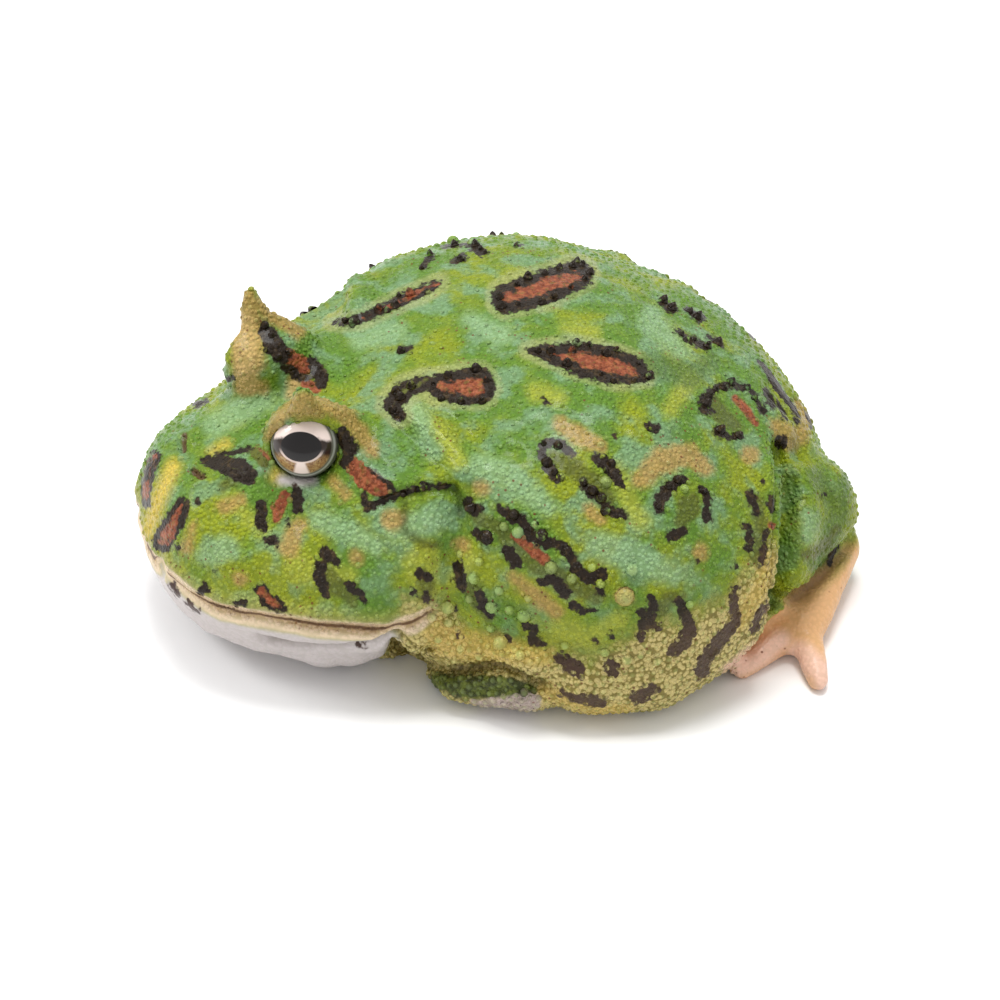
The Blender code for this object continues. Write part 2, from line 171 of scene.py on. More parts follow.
FLANK_BLOTCHES = (
    Blotch(((541, 458, 4.5), (543, 446, 5), (553, 441, 4))),
    Blotch(((556, 441, 4), (564, 448, 5.5), (573, 453, 3.5))),
    Blotch(((546, 464, 5), (553, 474, 6.5), (558, 480, 4))),
    Blotch(((595, 456, 4), (608, 466, 7), (618, 478, 6), (622, 485, 4))),
    Blotch(((582, 482, 3.5), (590, 492, 7), (598, 499, 5))),
    Blotch(((601, 503, 3.5), (612, 511, 6), (624, 515, 5))),
    Blotch(((682, 480, 5), (669, 487, 7), (661, 499, 7.5), (659, 510, 5.5))),
    Blotch(((669, 536, 5), (678, 533, 6), (685, 531, 4))),
    Blotch(((702, 489, 4.5), (708, 496, 4), (706, 508, 3.5), (707, 517, 6.5))),
    Blotch(((468, 502, 6), (474, 511, 6.5), (483, 507, 3.5))),
    Blotch(
        (
            *((500, 508, 4.5), (511, 517, 6.5), (523, 521, 6), (532, 535, 7)),
            *((545, 543, 6), (560, 545, 5.5), (570, 556, 6)),
        )
    ),
    Blotch(((570, 556, 6), (577, 570, 6.5), (590, 579, 6), (602, 575, 7.5))),
    Blotch(((600, 590, 6),)),
    Blotch(((477, 533, 6), (486, 538, 6))),
    Blotch(((507, 551, 6), (516, 562, 7))),
    Blotch(((541, 582, 5), (553, 580, 6), (565, 592, 6.5))),
    Blotch(((573, 604, 5), (582, 611, 4), (594, 611, 3))),
    Blotch(((650, 598, 4.5), (654, 609, 5))),
    Blotch(((638, 612, 4), (650, 617, 6), (642, 625, 5), (655, 627, 5))),
    Blotch(((641, 637, 5.5),)),
    Blotch(((678, 601, 5), (684, 613, 6), (690, 628, 7.5), (684, 643, 8), (672, 652, 5.5))),
    Blotch(((560, 659, 6.5), (572, 666, 8.5), (580, 671, 6))),
    Blotch(((612, 665, 7), (614, 674, 5.5))),
    Blotch(((595, 641, 4),)),
    Blotch(((611, 636, 3.5),)),
    Blotch(((735, 587, 3.5), (733, 605, 5), (737, 620, 5), (722, 637, 8), (708, 655, 6.5), (701, 671, 8))),
    Blotch(((636, 698, 6.5), (646, 693, 8), (654, 688, 5))),
    Blotch(((561, 692, 3.5), (575, 698, 4), (595, 701, 7), (603, 703, 5))),
    Blotch(((750, 494, 5.5), (755, 508, 4.5), (756, 516, 3))),
    Blotch(((746, 526, 4), (750, 538, 5), (749, 548, 4))),
    Blotch(((771, 500, 5), (770, 510, 4))),
    Blotch(((766, 532, 3), (764, 548, 4), (763, 562, 4.5))),
    Blotch(((764, 606, 4), (758, 618, 5), (752, 631, 3.5))),
    Blotch(((736, 566, 3),)),
    Blotch(((697, 560, 3),)),
    Blotch(((762, 482, 2.5),)),
    Blotch(((457, 565, 5), (460, 578, 7), (464, 590, 4))),
    Blotch(((480, 594, 5), (483, 606, 5.5), (490, 616, 4))),
    Blotch(((525, 625, 4), (535, 630, 5), (533, 641, 6), (543, 644, 4))),
    Blotch(((508, 638, 4.5),)),
    Blotch(((455, 609, 3.5),)),
    Blotch(((458, 635, 3),)),
)
FACE_BLOTCHES = (
    Blotch(((156, 456, 5), (150, 470, 6), (145, 490, 6.5), (147, 505, 4)), Heart.RUST, 0.5),
    Blotch(((182, 506, 8), (174, 522, 11), (163, 541, 11)), Heart.RUST, 0.7),
    Blotch(((198, 502, 4.5),)),
    Blotch(((178, 548, 4),)),
    Blotch(((212, 388, 3.5), (222, 381, 3.5), (232, 378, 3))),
    Blotch(((197, 404, 4), (206, 402, 3.5))),
    Blotch(((205, 461, 5), (222, 464, 9), (240, 470, 12), (248, 476, 9)), Heart.OLIVE, 1.8),
    Blotch(((215, 456, 2.5), (250, 449, 3))),
    Blotch(((196, 472, 2.6), (203, 475, 2.2))),
    Blotch(((262, 504, 6), (260, 520, 6.5), (264, 529, 4))),
    Blotch(((296, 488, 4.5), (298, 500, 6), (297, 510, 5))),
    Blotch(((288, 523, 4),)),
    Blotch(((266, 540, 4), (276, 541, 5))),
    Blotch(((344, 436, 9), (350, 450, 8), (344, 464, 5))),
    Blotch(((372, 470, 3), (385, 482, 3), (394, 490, 3))),
    Blotch(((364, 495, 4), (368, 508, 5), (376, 503, 4))),
    Blotch(((382, 500, 4), (402, 493, 4.5), (422, 488, 3.5), (446, 486, 4))),
    Blotch(((325, 553, 7.5), (336, 561, 5.5))),
    Blotch(((321, 566, 6), (320, 580, 6), (326, 594, 5))),
    Blotch(((350, 586, 5.5), (359, 594, 5), (366, 601, 3))),
    Blotch(((205, 587, 5.5), (201, 593, 4))),
    Blotch(((237, 604, 4), (246, 602, 4))),
    Blotch(((261, 590, 6), (268, 600, 8), (283, 609, 5)), Heart.RUST, 0.5),
    Blotch(((204, 567, 1.6),)),
    Blotch(((215, 571, 2),)),
    Blotch(((420, 573, 6), (428, 577, 5))),
    Blotch(((414, 593, 4),)),
    Blotch(((427, 598, 6),)),
    Blotch(((358, 643, 3.2), (364, 645, 3))),
    Blotch(((171, 583, 3), (178, 594, 3.5))),
    Blotch(((188, 603, 3), (198, 611, 2.5))),
)
FAR_LID_BLOTCHES = (
    Blotch(((266, 331, 8), (274, 344, 11), (282, 356, 9))),
    Blotch(((286, 368, 5), (298, 376, 4.5), (308, 378, 4))),
    Blotch(((310, 360, 4), (318, 370, 8), (322, 384, 6.5))),
)
REAR_BLOTCHES = (
    ((6.0, 38.0, 27.0, 1.2), (10.0, 38.5, 25.0, 1.5), (13.0, 38.0, 22.0, 1.1)),
    ((-4.0, 40.0, 23.0, 1.3), (-7.5, 40.0, 20.5, 1.6)),
    ((-14.0, 38.0, 24.0, 1.4), (-17.0, 36.5, 21.0, 1.3), (-17.5, 37.0, 17.5, 1.0)),
    ((3.0, 43.0, 15.0, 1.1), (5.5, 43.0, 12.5, 1.4)),
    ((-9.0, 42.0, 12.0, 1.5), (-10.5, 42.0, 9.5, 1.0)),
    ((13.0, 41.0, 13.5, 1.1), (14.5, 41.0, 10.5, 1.4)),
    ((-22.0, 38.5, 12.0, 1.2), (-24.0, 38.0, 9.0, 1.0)),
    ((23.0, 40.0, 9.0, 1.0), (25.0, 39.5, 7.0, 0.9)),
)
RUST_PATCHES = (
    Patch(((291, 358, 9), (304, 366, 9))),
    Patch(((306, 384, 6), (316, 388, 6))),
    Patch(((735, 398, 4), (748, 412, 5), (756, 424, 3))),
    Patch(((514, 536, 4), (528, 546, 5.5), (545, 560, 6))),
    Patch(((772, 525, 4.5),)),
    Patch(((256, 452, 6), (264, 460, 8))),
    Patch(((285, 496, 6), (279, 508, 7), (276, 520, 4))),
    Patch(((354, 465, 9), (366, 479, 12), (382, 489, 9))),
)
TAN_PATCHES = (
    Patch(((560, 424, 8), (580, 436, 11), (600, 446, 8))),
    Patch(((640, 480, 10), (662, 460, 14), (690, 455, 12), (706, 470, 8))),
    Patch(((590, 510, 7), (602, 520, 6))),
    Patch(((624, 596, 9),)),
    Patch(((482, 488, 9),)),
    Patch(((700, 552, 9),)),
    Patch(((750, 455, 10),)),
    Patch(((790, 442, 10), (776, 425, 8), (800, 436, 9), (806, 420, 7), (798, 404, 6))),
    Patch(((512, 577, 6), (535, 595, 9), (556, 612, 8))),
    Patch(((462, 545, 9),)),
    Patch(((298, 525, 9), (289, 548, 11))),
    Patch(((393, 520, 12),)),
    Patch(((357, 557, 8),)),
    Patch(((194, 525, 5), (186, 550, 6))),
    Patch(((225, 507, 8), (240, 500, 6))),
    Patch(((333, 480, 6), (345, 495, 7))),
    Patch(((240, 579, 8),)),
    Patch(((247, 297, 9), (250, 315, 13), (248, 340, 17), (248, 362, 17), (244, 384, 12), (262, 388, 8))),
    Patch(((258, 303, 8), (270, 315, 10), (285, 322, 9), (298, 332, 8))),
    Patch(((296, 381, 8), (305, 374, 5))),
    Patch(((290, 412, 7), (304, 406, 9), (320, 411, 7), (300, 416, 5))),
    Patch(
        (
            *((270, 436, 7), (277, 422, 9), (290, 406, 8), (304, 397, 6)),
            *((325, 402, 10), (345, 414, 10), (360, 432, 9), (372, 450, 8)),
        )
    ),
)
YELLOW_PATCHES = (
    Patch(((173, 467, 7), (158, 500, 8), (147, 535, 7))),
    Patch(((212, 452, 3), (226, 444, 4))),
    Patch(((277, 476, 7),)),
    Patch(((533, 672, 5), (542, 678, 4))),
)
LIME_PATCHES = (
    Patch(((438, 428, 6), (448, 442, 8), (457, 460, 10))),
    Patch(((412, 560, 9), (430, 550, 9), (428, 590, 10), (415, 575, 8))),
    Patch(((536, 392, 10), (560, 398, 8))),
    Patch(((615, 470, 8), (628, 500, 9), (640, 520, 10))),
    Patch(((560, 630, 12), (590, 640, 10), (620, 620, 10))),
    Patch(((470, 560, 10), (455, 580, 8))),
    Patch(((595, 332, 6), (565, 328, 5))),
    Patch(((300, 570, 14), (350, 575, 8))),
    Patch(((230, 500, 7), (262, 530, 8))),
    Patch(((690, 380, 10), (670, 410, 8))),
)
MINT_PATCHES = (
    Patch(((480, 466, 13), (505, 474, 14), (530, 494, 12), (548, 508, 9))),
    Patch(((405, 402, 9), (420, 415, 10), (432, 452, 8))),
    Patch(((320, 520, 11), (345, 530, 12), (375, 545, 10))),
    Patch(((225, 548, 13), (205, 556, 9))),
    Patch(((240, 410, 14), (215, 425, 12), (265, 400, 10))),
    Patch(((600, 545, 14), (640, 560, 16), (670, 575, 10))),
    Patch(((360, 340, 10), (400, 330, 8))),
    Patch(((500, 335, 12), (470, 320, 8))),
    Patch(((650, 320, 12), (680, 350, 10))),
    Patch(((806, 515, 7), (808, 535, 8))),
    Patch(((395, 530, 12), (430, 522, 14))),
)
OLIVE_PATCHES = (
    Patch(((553, 455, 7), (575, 470, 10), (597, 484, 9), (610, 500, 7))),
    Patch(((690, 505, 12), (683, 522, 8))),
    Patch(((478, 517, 8), (497, 527, 8), (520, 552, 10), (547, 570, 10), (570, 584, 9), (597, 597, 7))),
    Patch(((655, 612, 8), (668, 600, 8), (682, 596, 5))),
    Patch(((712, 402, 7), (722, 416, 9), (735, 426, 7))),
    Patch(((758, 500, 6), (760, 530, 7), (757, 560, 6))),
    Patch(((330, 575, 9), (340, 590, 9), (352, 600, 6))),
    Patch(((425, 580, 9), (424, 595, 7))),
    Patch(((470, 590, 9), (487, 615, 7))),
    Patch(((222, 486, 5), (240, 478, 6))),
    Patch(((806, 556, 6), (822, 548, 6), (836, 530, 5))),
)
ARM_PATCHES = (
    Patch(((436, 680, 8), (460, 687, 12), (485, 687, 13), (510, 688, 11), (528, 690, 8))),
)
HAND_PATCHES = (
    Patch(((434, 697, 4), (455, 704, 5), (480, 707, 7), (505, 706, 9), (532, 702, 9))),
)
DEEP_PATCHES = (
    Patch(((650, 362, 12), (690, 376, 14), (712, 362, 9))),
    Patch(((790, 480, 9), (792, 520, 9), (792, 560, 10))),
    Patch(((815, 475, 10), (836, 505, 11), (832, 545, 10), (815, 565, 9))),
    Patch(((845, 480, 9), (842, 520, 10))),
)
OCHRE_PATCHES = (
    Patch(((428, 622, 13), (445, 640, 18), (478, 648, 16), (515, 652, 13), (548, 658, 9))),
    Patch(((740, 620, 10), (760, 590, 9), (768, 560, 7))),
    Patch(((545, 690, 8), (600, 712, 8), (650, 712, 8))),
    Patch(((786, 598, 5), (804, 590, 6), (822, 578, 6))),
)
PALE_PATCHES = (
    Patch(((246, 318, 8), (246, 340, 12), (245, 362, 12), (250, 384, 9))),
    Patch(((290, 395, 6), (296, 380, 6), (300, 374, 4))),
)
LILAC_PATCHES = (
    Patch(((282, 480, 5), (297, 481, 6), (312, 480, 5))),
)
PINK_PATCHES = (
    Patch(((735, 668, 12), (760, 655, 13), (780, 640, 10))),
    Patch(((800, 655, 14), (822, 672, 12), (826, 690, 10))),
    Patch(((860, 560, 6), (850, 590, 8), (838, 610, 8))),
)
THROAT_END = (404, 640)
CREAM_LINE = (
    *((425, 602), (452, 612), (470, 640), (520, 647), (554, 652), (592, 662), (630, 640)),
    *((654, 623), (678, 626), (702, 612), (726, 600), (750, 570), (772, 533)),
)
MOUTH_LINE = (
    *((150, 550), (168, 573), (193, 593), (218, 606), (260, 614)),
    *((316, 624), (386, 628), (414, 621), (430, 611)),
)
# The name that each soft colour's patches are kept under, and how many millimetres their edge fades over
SOFT_PATCHES = (
    ("rust", RUST_PATCHES, 0.8),
    ("tan", TAN_PATCHES, 2.0),
    ("yellow", YELLOW_PATCHES, 1.6),
    ("olive_patch", OLIVE_PATCHES, 1.2),
    ("deep", DEEP_PATCHES, 3.0),
    ("ochre", OCHRE_PATCHES, 2.5),
    ("pale", PALE_PATCHES, 2.0),
    ("arm", ARM_PATCHES, 1.5),
    ("hand", HAND_PATCHES, 1.2),
    ("lime", LIME_PATCHES, 2.5),
    ("mint", MINT_PATCHES, 2.5),
    ("lilac", LILAC_PATCHES, 1.0),
    ("pink", PINK_PATCHES, 1.5),
)


class Wart(Enum):
    """The kinds of wart: how slim its bell shape is, and how high it stands for its radius."""

    DOME = (0.6, 0.8)
    CONE = (1.4, 1.35)
    PEBBLE = (1.2, 0.5)


@dataclass(frozen=True)
class Knob:
    """A large wart that the photograph shows, by its pixel and its radius in pixels."""

    x: float
    y: float
    radius: float


KNOBS = tuple(
    Knob(*knob)
    for knob in (
        *((448, 607, 6), (447, 623, 5), (461, 648, 4), (501, 642, 6.5), (624, 596, 8), (566, 646, 4)),
        *((488, 538, 6), (492, 607, 5.5), (524, 616, 6), (474, 578, 5), (510, 609, 4.5), (518, 534, 5)),
        *((543, 534, 5), (552, 568, 5.5), (571, 579, 4.5), (605, 481, 5.5), (602, 446, 3.5), (561, 477, 4)),
        *((585, 480, 3.5), (632, 570, 5), (480, 560, 4), (500, 590, 4), (528, 600, 3.5), (470, 600, 4)),
        *((684, 490, 4), (626, 661, 5), (657, 662, 4), (606, 652, 4), (640, 655, 3), (690, 605, 3.5)),
        *((432, 615, 4), (438, 640, 4), (478, 655, 4), (520, 655, 4.5), (455, 660, 3.5), (490, 628, 4)),
        *((536, 525, 3.5), (566, 551, 4), (590, 566, 4), (600, 583, 4), (505, 527, 4), (460, 555, 3.5)),
    )
)


@dataclass(frozen=True)
class Fold:
    """A furrow or a ridge of the skin, alike on both sides of the frog.

    Attributes:
        run: Pixels of the photograph along it.
        width: Half its width in millimetres.
        height: How high it stands in millimetres, less than 0 for a furrow.
    """

    run: tuple[Pixel, ...]
    width: float
    height: float


BROAD_FOLDS = (
    Fold(((168, 566), (193, 586), (218, 599), (260, 607), (316, 616), (386, 620)), 1.1, 0.5),
    Fold(((170, 580), (195, 601), (220, 614), (262, 623), (318, 633), (386, 636)), 1.0, 0.5),
    Fold(((394, 640), (412, 656), (448, 667), (494, 662), (525, 674), (546, 684)), 1.6, -1.2),
    Fold(((405, 640), (440, 657), (470, 655), (505, 657), (535, 674)), 1.5, 1.1),
    Fold(((436, 677), (462, 673), (486, 671), (508, 676), (526, 687), (541, 696)), 1.5, -1.2),
    Fold(((385, 661), (405, 668), (420, 680)), 2.2, -1.6),
    Fold(((400, 657), (413, 670), (424, 684), (432, 696)), 2.4, -2.6),
    Fold(((165, 440), (155, 480), (152, 520), (160, 545)), 5.0, -0.8),
    Fold(((445, 693), (480, 700), (520, 700)), 1.2, 0.4),
    Fold(((262, 639), (300, 647), (340, 649), (375, 644), (398, 636)), 0.9, -1.6),
    Fold(((770, 470), (769, 530), (764, 590)), 1.3, 0.8),
    Fold(((781, 445), (783, 480), (781, 530), (778, 580), (775, 605)), 1.3, -2.2),
    Fold(((765, 470), (764, 530), (758, 590)), 3.0, 0.7),
    Fold(((788, 456), (798, 453), (807, 449)), 1.7, -1.7),
    Fold(((800, 470), (806, 520), (795, 575)), 4.5, 1.0),
    Fold(((776, 606), (800, 592), (825, 570), (850, 540)), 1.5, -1.3),
    Fold(((414, 415), (437, 437), (457, 462), (466, 470)), 1.6, 0.7),
    Fold(((350, 450), (375, 484), (405, 484), (440, 478)), 1.6, 0.5),
    Fold(((382, 501), (402, 494), (422, 489), (452, 487)), 0.9, -0.5),
    Fold(((453, 487), (461, 505), (463, 530), (450, 560)), 1.4, -0.6),
    Fold(((430, 518), (431, 520)), 3.0, 0.5),
    Fold(((459, 418), (477, 438), (490, 451), (514, 455)), 1.2, -0.4),
    Fold(((195, 455), (225, 447), (262, 436)), 1.3, 0.5),
    Fold(((215, 480), (250, 500), (290, 512)), 3.0, -0.6),
    Fold(((230, 550), (300, 570), (370, 580)), 5.0, 0.5),
)
FINE_FOLDS = (
    Fold(((192, 470), (203, 476)), 0.42, -1.0),
    Fold(((186, 468), (194, 464), (206, 470)), 0.5, 0.35),
    Fold(((160, 562), *MOUTH_LINE[1:]), 0.7, -0.45),
    Fold(
        (
            *((394, 640), (412, 658), (428, 667), (448, 669), (470, 667)),
            *((494, 664), (512, 668), (526, 676), (546, 685)),
        ),
        0.7,
        -0.9,
    ),
    Fold(((779, 448), (780, 480), (778, 530), (774, 580), (771, 606)), 0.7, -1.2),
    Fold(((773, 607), (800, 594), (825, 573), (850, 545)), 0.6, -0.8),
    Fold(((382, 502), (402, 495), (422, 490), (452, 488)), 0.5, -0.4),
    Fold(((453, 488), (459, 497), (460, 513)), 0.5, -0.4),
    Fold(((405, 504), (404, 531), (423, 545), (437, 545)), 0.5, -0.25),
    Fold(((204, 628), (255, 648), (294, 656), (330, 662)), 0.8, 0.3),
    Fold(((478, 694), (505, 688), (540, 687)), 0.6, -0.7),
    Fold(((500, 712), (515, 702), (530, 697)), 0.5, -0.5),
    Fold(((433, 548), (437, 575), (432, 600)), 0.35, -0.3),
    Fold(((445, 550), (449, 578), (446, 604)), 0.35, -0.25),
    Fold(((455, 560), (459, 585), (458, 606)), 0.35, -0.2),
    Fold(((790, 470), (800, 500), (815, 530)), 0.4, -0.25),
    Fold(((788, 500), (797, 530), (810, 560)), 0.4, -0.3),
    Fold(((800, 455), (815, 480), (835, 505)), 0.4, -0.2),
    Fold(((770, 395), (785, 410), (800, 432)), 0.5, -0.45),
    Fold(((785, 390), (800, 405), (812, 425)), 0.5, -0.4),
    Fold(((762, 410), (778, 425), (792, 445)), 0.5, -0.4),
    Fold(((300, 490), (320, 515), (330, 545)), 0.6, -0.25),
    Fold(((205, 500), (230, 520), (240, 545)), 0.6, -0.2),
    Fold(((350, 520), (380, 540), (405, 560)), 0.6, -0.25),
)
# Lines in the creases, along which shade is painted into the skin's colour
CREASES = (
    ((779, 448), (781, 480), (780, 530), (776, 580), (773, 606)),
    ((774, 607), (800, 594), (825, 573), (848, 548)),
    ((436, 675), (462, 671), (486, 669), (508, 674), (526, 684), (541, 694)),
    ((270, 641), (300, 647), (340, 649), (375, 644), (398, 636)),
    ((453, 488), (459, 497), (460, 513)),
    ((405, 504), (404, 531), (423, 545), (437, 545)),
)
# The nostrils, which are painted dark as painted shade
SLITS = (
    ((193, 470), (198, 473), (204, 476)),
)
# Balls that fill the corner of the throat: their x, y, z and radius
THROAT = ((15.8, -30.2, 6.4, 3.7), (16.8, -27.2, 6.2, 4.6), (17.8, -24.0, 6.4, 4.7), (18.4, -22.2, 6.6, 4.2))
# The jaw's edge: places along it as y, and how far it moves up there
JAW_SAG = (
    *((-46.0, -1.2), (-42.0, -2.4), (-36.0, -1.4), (-31.0, 0.0)),
    *((-27.0, 1.1), (-22.0, 1.9), (-15.0, 1.9)),
)
# The upper lid's thick edge: places across and above the eye's middle, as the camera sees them
LID_RIM = ((-4.4, 1.2), (-3.0, 2.4), (-1.5, 2.95), (0.0, 3.15), (1.5, 3.05), (3.0, 2.6), (4.5, 1.5))
# The skin's soft lumps: their size and height
LUMPS = ((1.7, 0.10), (4.5, 0.16))


@dataclass(frozen=True)
class PhotoCamera:
    """The camera of the photograph: where it stands, and what its pixels look at.

    Attributes:
        azimuth: Degrees round the frog, 0 from in front of the head and 90 from its left.
        elevation: Degrees above the floor.
        distance: Millimetres from the target.
        target: The point at the picture's centre.
        focal: Focal length in pixels.
        picture: Width and height of the picture in pixels.
        sensor: Width of the sensor in millimetres.
    """

    azimuth: float = 70.5
    elevation: float = 37.0
    distance: float = 450.0
    target: Point = (0.0, 2.5, 8.0)
    focal: float = 3375.0
    picture: float = 1000.0
    sensor: float = 36.0

    @property
    def axes(self) -> np.ndarray:
        """The camera's right, up and back directions as the rows of a matrix."""
        turn, lift = math.radians(self.azimuth), math.radians(self.elevation)
        back = np.array((math.cos(lift) * math.sin(turn), -math.cos(lift) * math.cos(turn), math.sin(lift)))
        right = np.array((math.cos(turn), math.sin(turn), 0.0))
        return np.array((right, np.cross(back, right), back))

    @property
    def place(self) -> np.ndarray:
        """The camera's place in millimetres."""
        return np.array(self.target) + self.axes[2] * self.distance

    def ray(self, x: float, y: float) -> np.ndarray:
        """The direction that a pixel looks along.

        Args:
            x: The pixel's place from the picture's left.
            y: Its place from the top.

        Returns:
            The direction, of length 1.
        """
        middle = self.picture / 2
        right, up, back = self.axes
        way = right * (x - middle) + up * (middle - y) - back * self.focal
        return way / np.linalg.norm(way)

    def pixels(self, places: np.ndarray) -> np.ndarray:
        """The pixels that places show at.

        Args:
            places: Places in millimetres, one to a row.

        Returns:
            The x and y of each place's pixel, one to a row.
        """
        seen = (places - self.place) @ self.axes.T
        scale = -self.focal / seen[:, 2:]
        return self.picture / 2 + seen[:, :2] * scale * (1, -1)

    def build(self) -> bpy.types.Object:
        """Set up the camera and make it the scene's.

        Returns:
            The camera.
        """
        data = bpy.data.cameras.new("photo_camera")
        data.sensor_width = self.sensor
        data.lens = self.focal * self.sensor / self.picture
        data.clip_start = 0.01
        data.clip_end = 20.0
        camera = bpy.data.objects.new("photo_camera", data)
        bpy.context.scene.collection.objects.link(camera)
        camera.matrix_world = Matrix.Translation(self.place * MM) @ Matrix(self.axes.T).to_4x4()
        bpy.context.scene.camera = camera
        return camera


class Value:
    """A socket of a material's nodes, with Python's operators for its maths."""

    def __init__(self, recipe: Recipe, socket: bpy.types.NodeSocket) -> None:
        """Wrap a socket of a recipe's node tree."""
        self.recipe = recipe
        self.socket = socket

    def _math(self, operation: str, first: Value | float, second: Value | float = 0.0) -> Value:
        """Add a Math node and give its result."""
        return self.recipe.node("ShaderNodeMath", {"operation": operation}, {0: first, 1: second})

    def __add__(self, other: Value | float) -> Value:
        """The sum."""
        return self._math("ADD", self, other)

    __radd__ = __add__

    def __sub__(self, other: Value | float) -> Value:
        """The difference."""
        return self._math("SUBTRACT", self, other)

    def __rsub__(self, other: Value | float) -> Value:
        """The difference, the other way round."""
        return self._math("SUBTRACT", other, self)

    def __mul__(self, other: Value | float) -> Value:
        """The product."""
        return self._math("MULTIPLY", self, other)

    __rmul__ = __mul__

    def __pow__(self, other: Value | float) -> Value:
        """The power."""
        return self._math("POWER", self, other)

    def highest(self, other: Value | float) -> Value:
        """The larger of the two."""
        return self._math("MAXIMUM", self, other)

    def ramp(self, low: float, high: float) -> Value:
        """A smooth step from 0 where the value is low to 1 where it is high.

        Args:
            low: Where it is 0.
            high: Where it is 1, which may be less than low.

        Returns:
            The step, from 0 to 1.
        """
        settings = {"interpolation_type": "SMOOTHSTEP", "clamp": True}
        inputs = {"Value": self, "From Min": low, "From Max": high, "To Min": 0.0, "To Max": 1.0}
        if low > high:
            inputs |= {"From Min": high, "From Max": low, "To Min": 1.0, "To Max": 0.0}
        return self.recipe.node("ShaderNodeMapRange", settings, inputs)


class Recipe:
    """A procedural material: one Principled shader and the nodes that feed it."""

    def __init__(self, name: str) -> None:
        """Start a material with nothing but its shader and output."""
        self.material = bpy.data.materials.new(name)
        self.material.use_nodes = True
        self.tree = self.material.node_tree
        self.shader = self.tree.nodes["Principled BSDF"]

    def node(
        self,
        kind: str,
        settings: dict[str, object] | None = None,
        inputs: dict[str | int, object] | None = None,
        output: str | int = 0,
    ) -> Value:
        """Add a node.

        Args:
            kind: The node's type.
            settings: Its properties, which are set first.
            inputs: Values or links of its sockets, by name or number.
            output: Name or number of the output that is wanted.

        Returns:
            The output, wrapped.
        """
        node = self.tree.nodes.new(kind)
        for name, setting in (settings or {}).items():
            setattr(node, name, setting)
        for name, value in (inputs or {}).items():
            self.feed(node.inputs[name], value)
        return Value(self, node.outputs[output])

    def feed(self, socket: bpy.types.NodeSocket, value: object) -> None:
        """Link a wrapped socket into a socket, or set the socket's own value.

        Args:
            socket: The socket that is fed.
            value: A wrapped socket, a number, or a colour or vector.
        """
        if isinstance(value, Value):
            self.tree.links.new(value.socket, socket)
        elif socket.type == "RGBA" and len(value) == 3:
            socket.default_value = (*value, 1.0)
        else:
            socket.default_value = value

    def attribute(self, name: str) -> Value:
        """A number that the mesh keeps for each vertex."""
        return self.node("ShaderNodeAttribute", {"attribute_name": name}, output="Fac")

    def place(self) -> Value:
        """The place on the object in millimetres."""
        where = self.node("ShaderNodeTexCoord", output="Object")
        return self.node("ShaderNodeVectorMath", {"operation": "MULTIPLY"}, {0: where, 1: (1 / MM,) * 3})

    def cloud(self, size: float, detail: float = 2.0, shift: float = 0.0, rough: float = 0.5) -> Value:
        """Soft noise from 0 to 1.

        Args:
            size: The size of its lumps in millimetres.
            detail: How many finer rounds of noise it has.
            shift: How far the pattern is moved, so that two are not alike.
            rough: How strong the finer rounds are.

        Returns:
            The noise.
        """
        where = self.node("ShaderNodeVectorMath", {"operation": "ADD"}, {0: self.place(), 1: (shift,) * 3})
        inputs = {"Vector": where, "Scale": 1.0 / size, "Detail": detail, "Roughness": rough}
        return self.node("ShaderNodeTexNoise", {}, inputs, "Fac")

    def uneven(self, size: float, shift: float, strength: float, detail: float = 3.0) -> Value:
        """Soft noise about 0 that spans a strength; the rest is as in cloud."""
        return (self.cloud(size, detail, shift) - 0.5) * strength

    def grains(self, size: float, shift: float = 0.0) -> Value:
        """The distance from the middles of grains.

        Args:
            size: The size of the grains in millimetres.
            shift: How far the pattern is moved, so that two are not alike.

        Returns:
            The distance, from 0 to about 0.8.
        """
        where = self.node("ShaderNodeVectorMath", {"operation": "ADD"}, {0: self.place(), 1: (shift,) * 3})
        inputs = {"Vector": where, "Scale": 1.0 / size, "Randomness": 0.9}
        return self.node("ShaderNodeTexVoronoi", {"feature": "F1"}, inputs, "Distance")

    def mix(self, share: Value | float, first: object, second: object, mode: str = "MIX") -> Value:
        """Blend two colours.

        Args:
            share: How much of the second shows.
            first: A colour or a wrapped socket.
            second: A colour or a wrapped socket.
            mode: The Mix node's blend type.

        Returns:
            The blended colour.
        """
        settings = {"data_type": "RGBA", "blend_type": mode}
        return self.node("ShaderNodeMix", settings, {0: share, 6: first, 7: second}, 2)

    def finish(self, **sockets: object) -> bpy.types.Material:
        """Feed the shader's sockets, whose names have _ for a space, and give the material."""
        for name, value in sockets.items():
            self.feed(self.shader.inputs[name.replace("_", " ")], value)
        return self.material


@dataclass(frozen=True)
class Layer:
    """A soft colour that shows where a number that the mesh keeps is high.

    Attributes:
        name: The number's name, which is also the name of the finish's colour.
        ragged: How much noise its edge has.
        low: Where it starts to show.
        high: Where it shows in full.
        share: How much of it shows there.
    """

    name: str
    ragged: float
    low: float
    high: float
    share: float = 1.0


MINT_AND_LIME = (Layer("mint", 0.3, 0.1, 0.9, 0.8), Layer("lime", 0.3, 0.1, 0.9, 0.8))
TAN_AND_PALE = (Layer("tan", 0.6, 0.2, 0.9, 0.85), Layer("pale", 0.4, 0.2, 0.9, 0.8))
# The deep layer holds deep-green patches and, over the rump, painted shade
OCHRE_AND_DEEP = (Layer("ochre", 0.5, 0.2, 0.9, 0.6), Layer("deep", 0.4, 0.3, 0.8, 0.75))
BELLY_EDGE = Layer("cream", 0.5, 0.12, 0.5, 0.7)
CREAM = Layer("cream", 0.6, 0.35, 0.75)
ARM = Layer("arm", 0.3, 0.2, 0.8)
HAND = Layer("hand", 0.4, 0.2, 0.8)
OLIVE = Layer("olive_patch", 1.3, 0.1, 0.9, 0.8)
RUST = Layer("rust", 0.5, 0.3, 0.8)


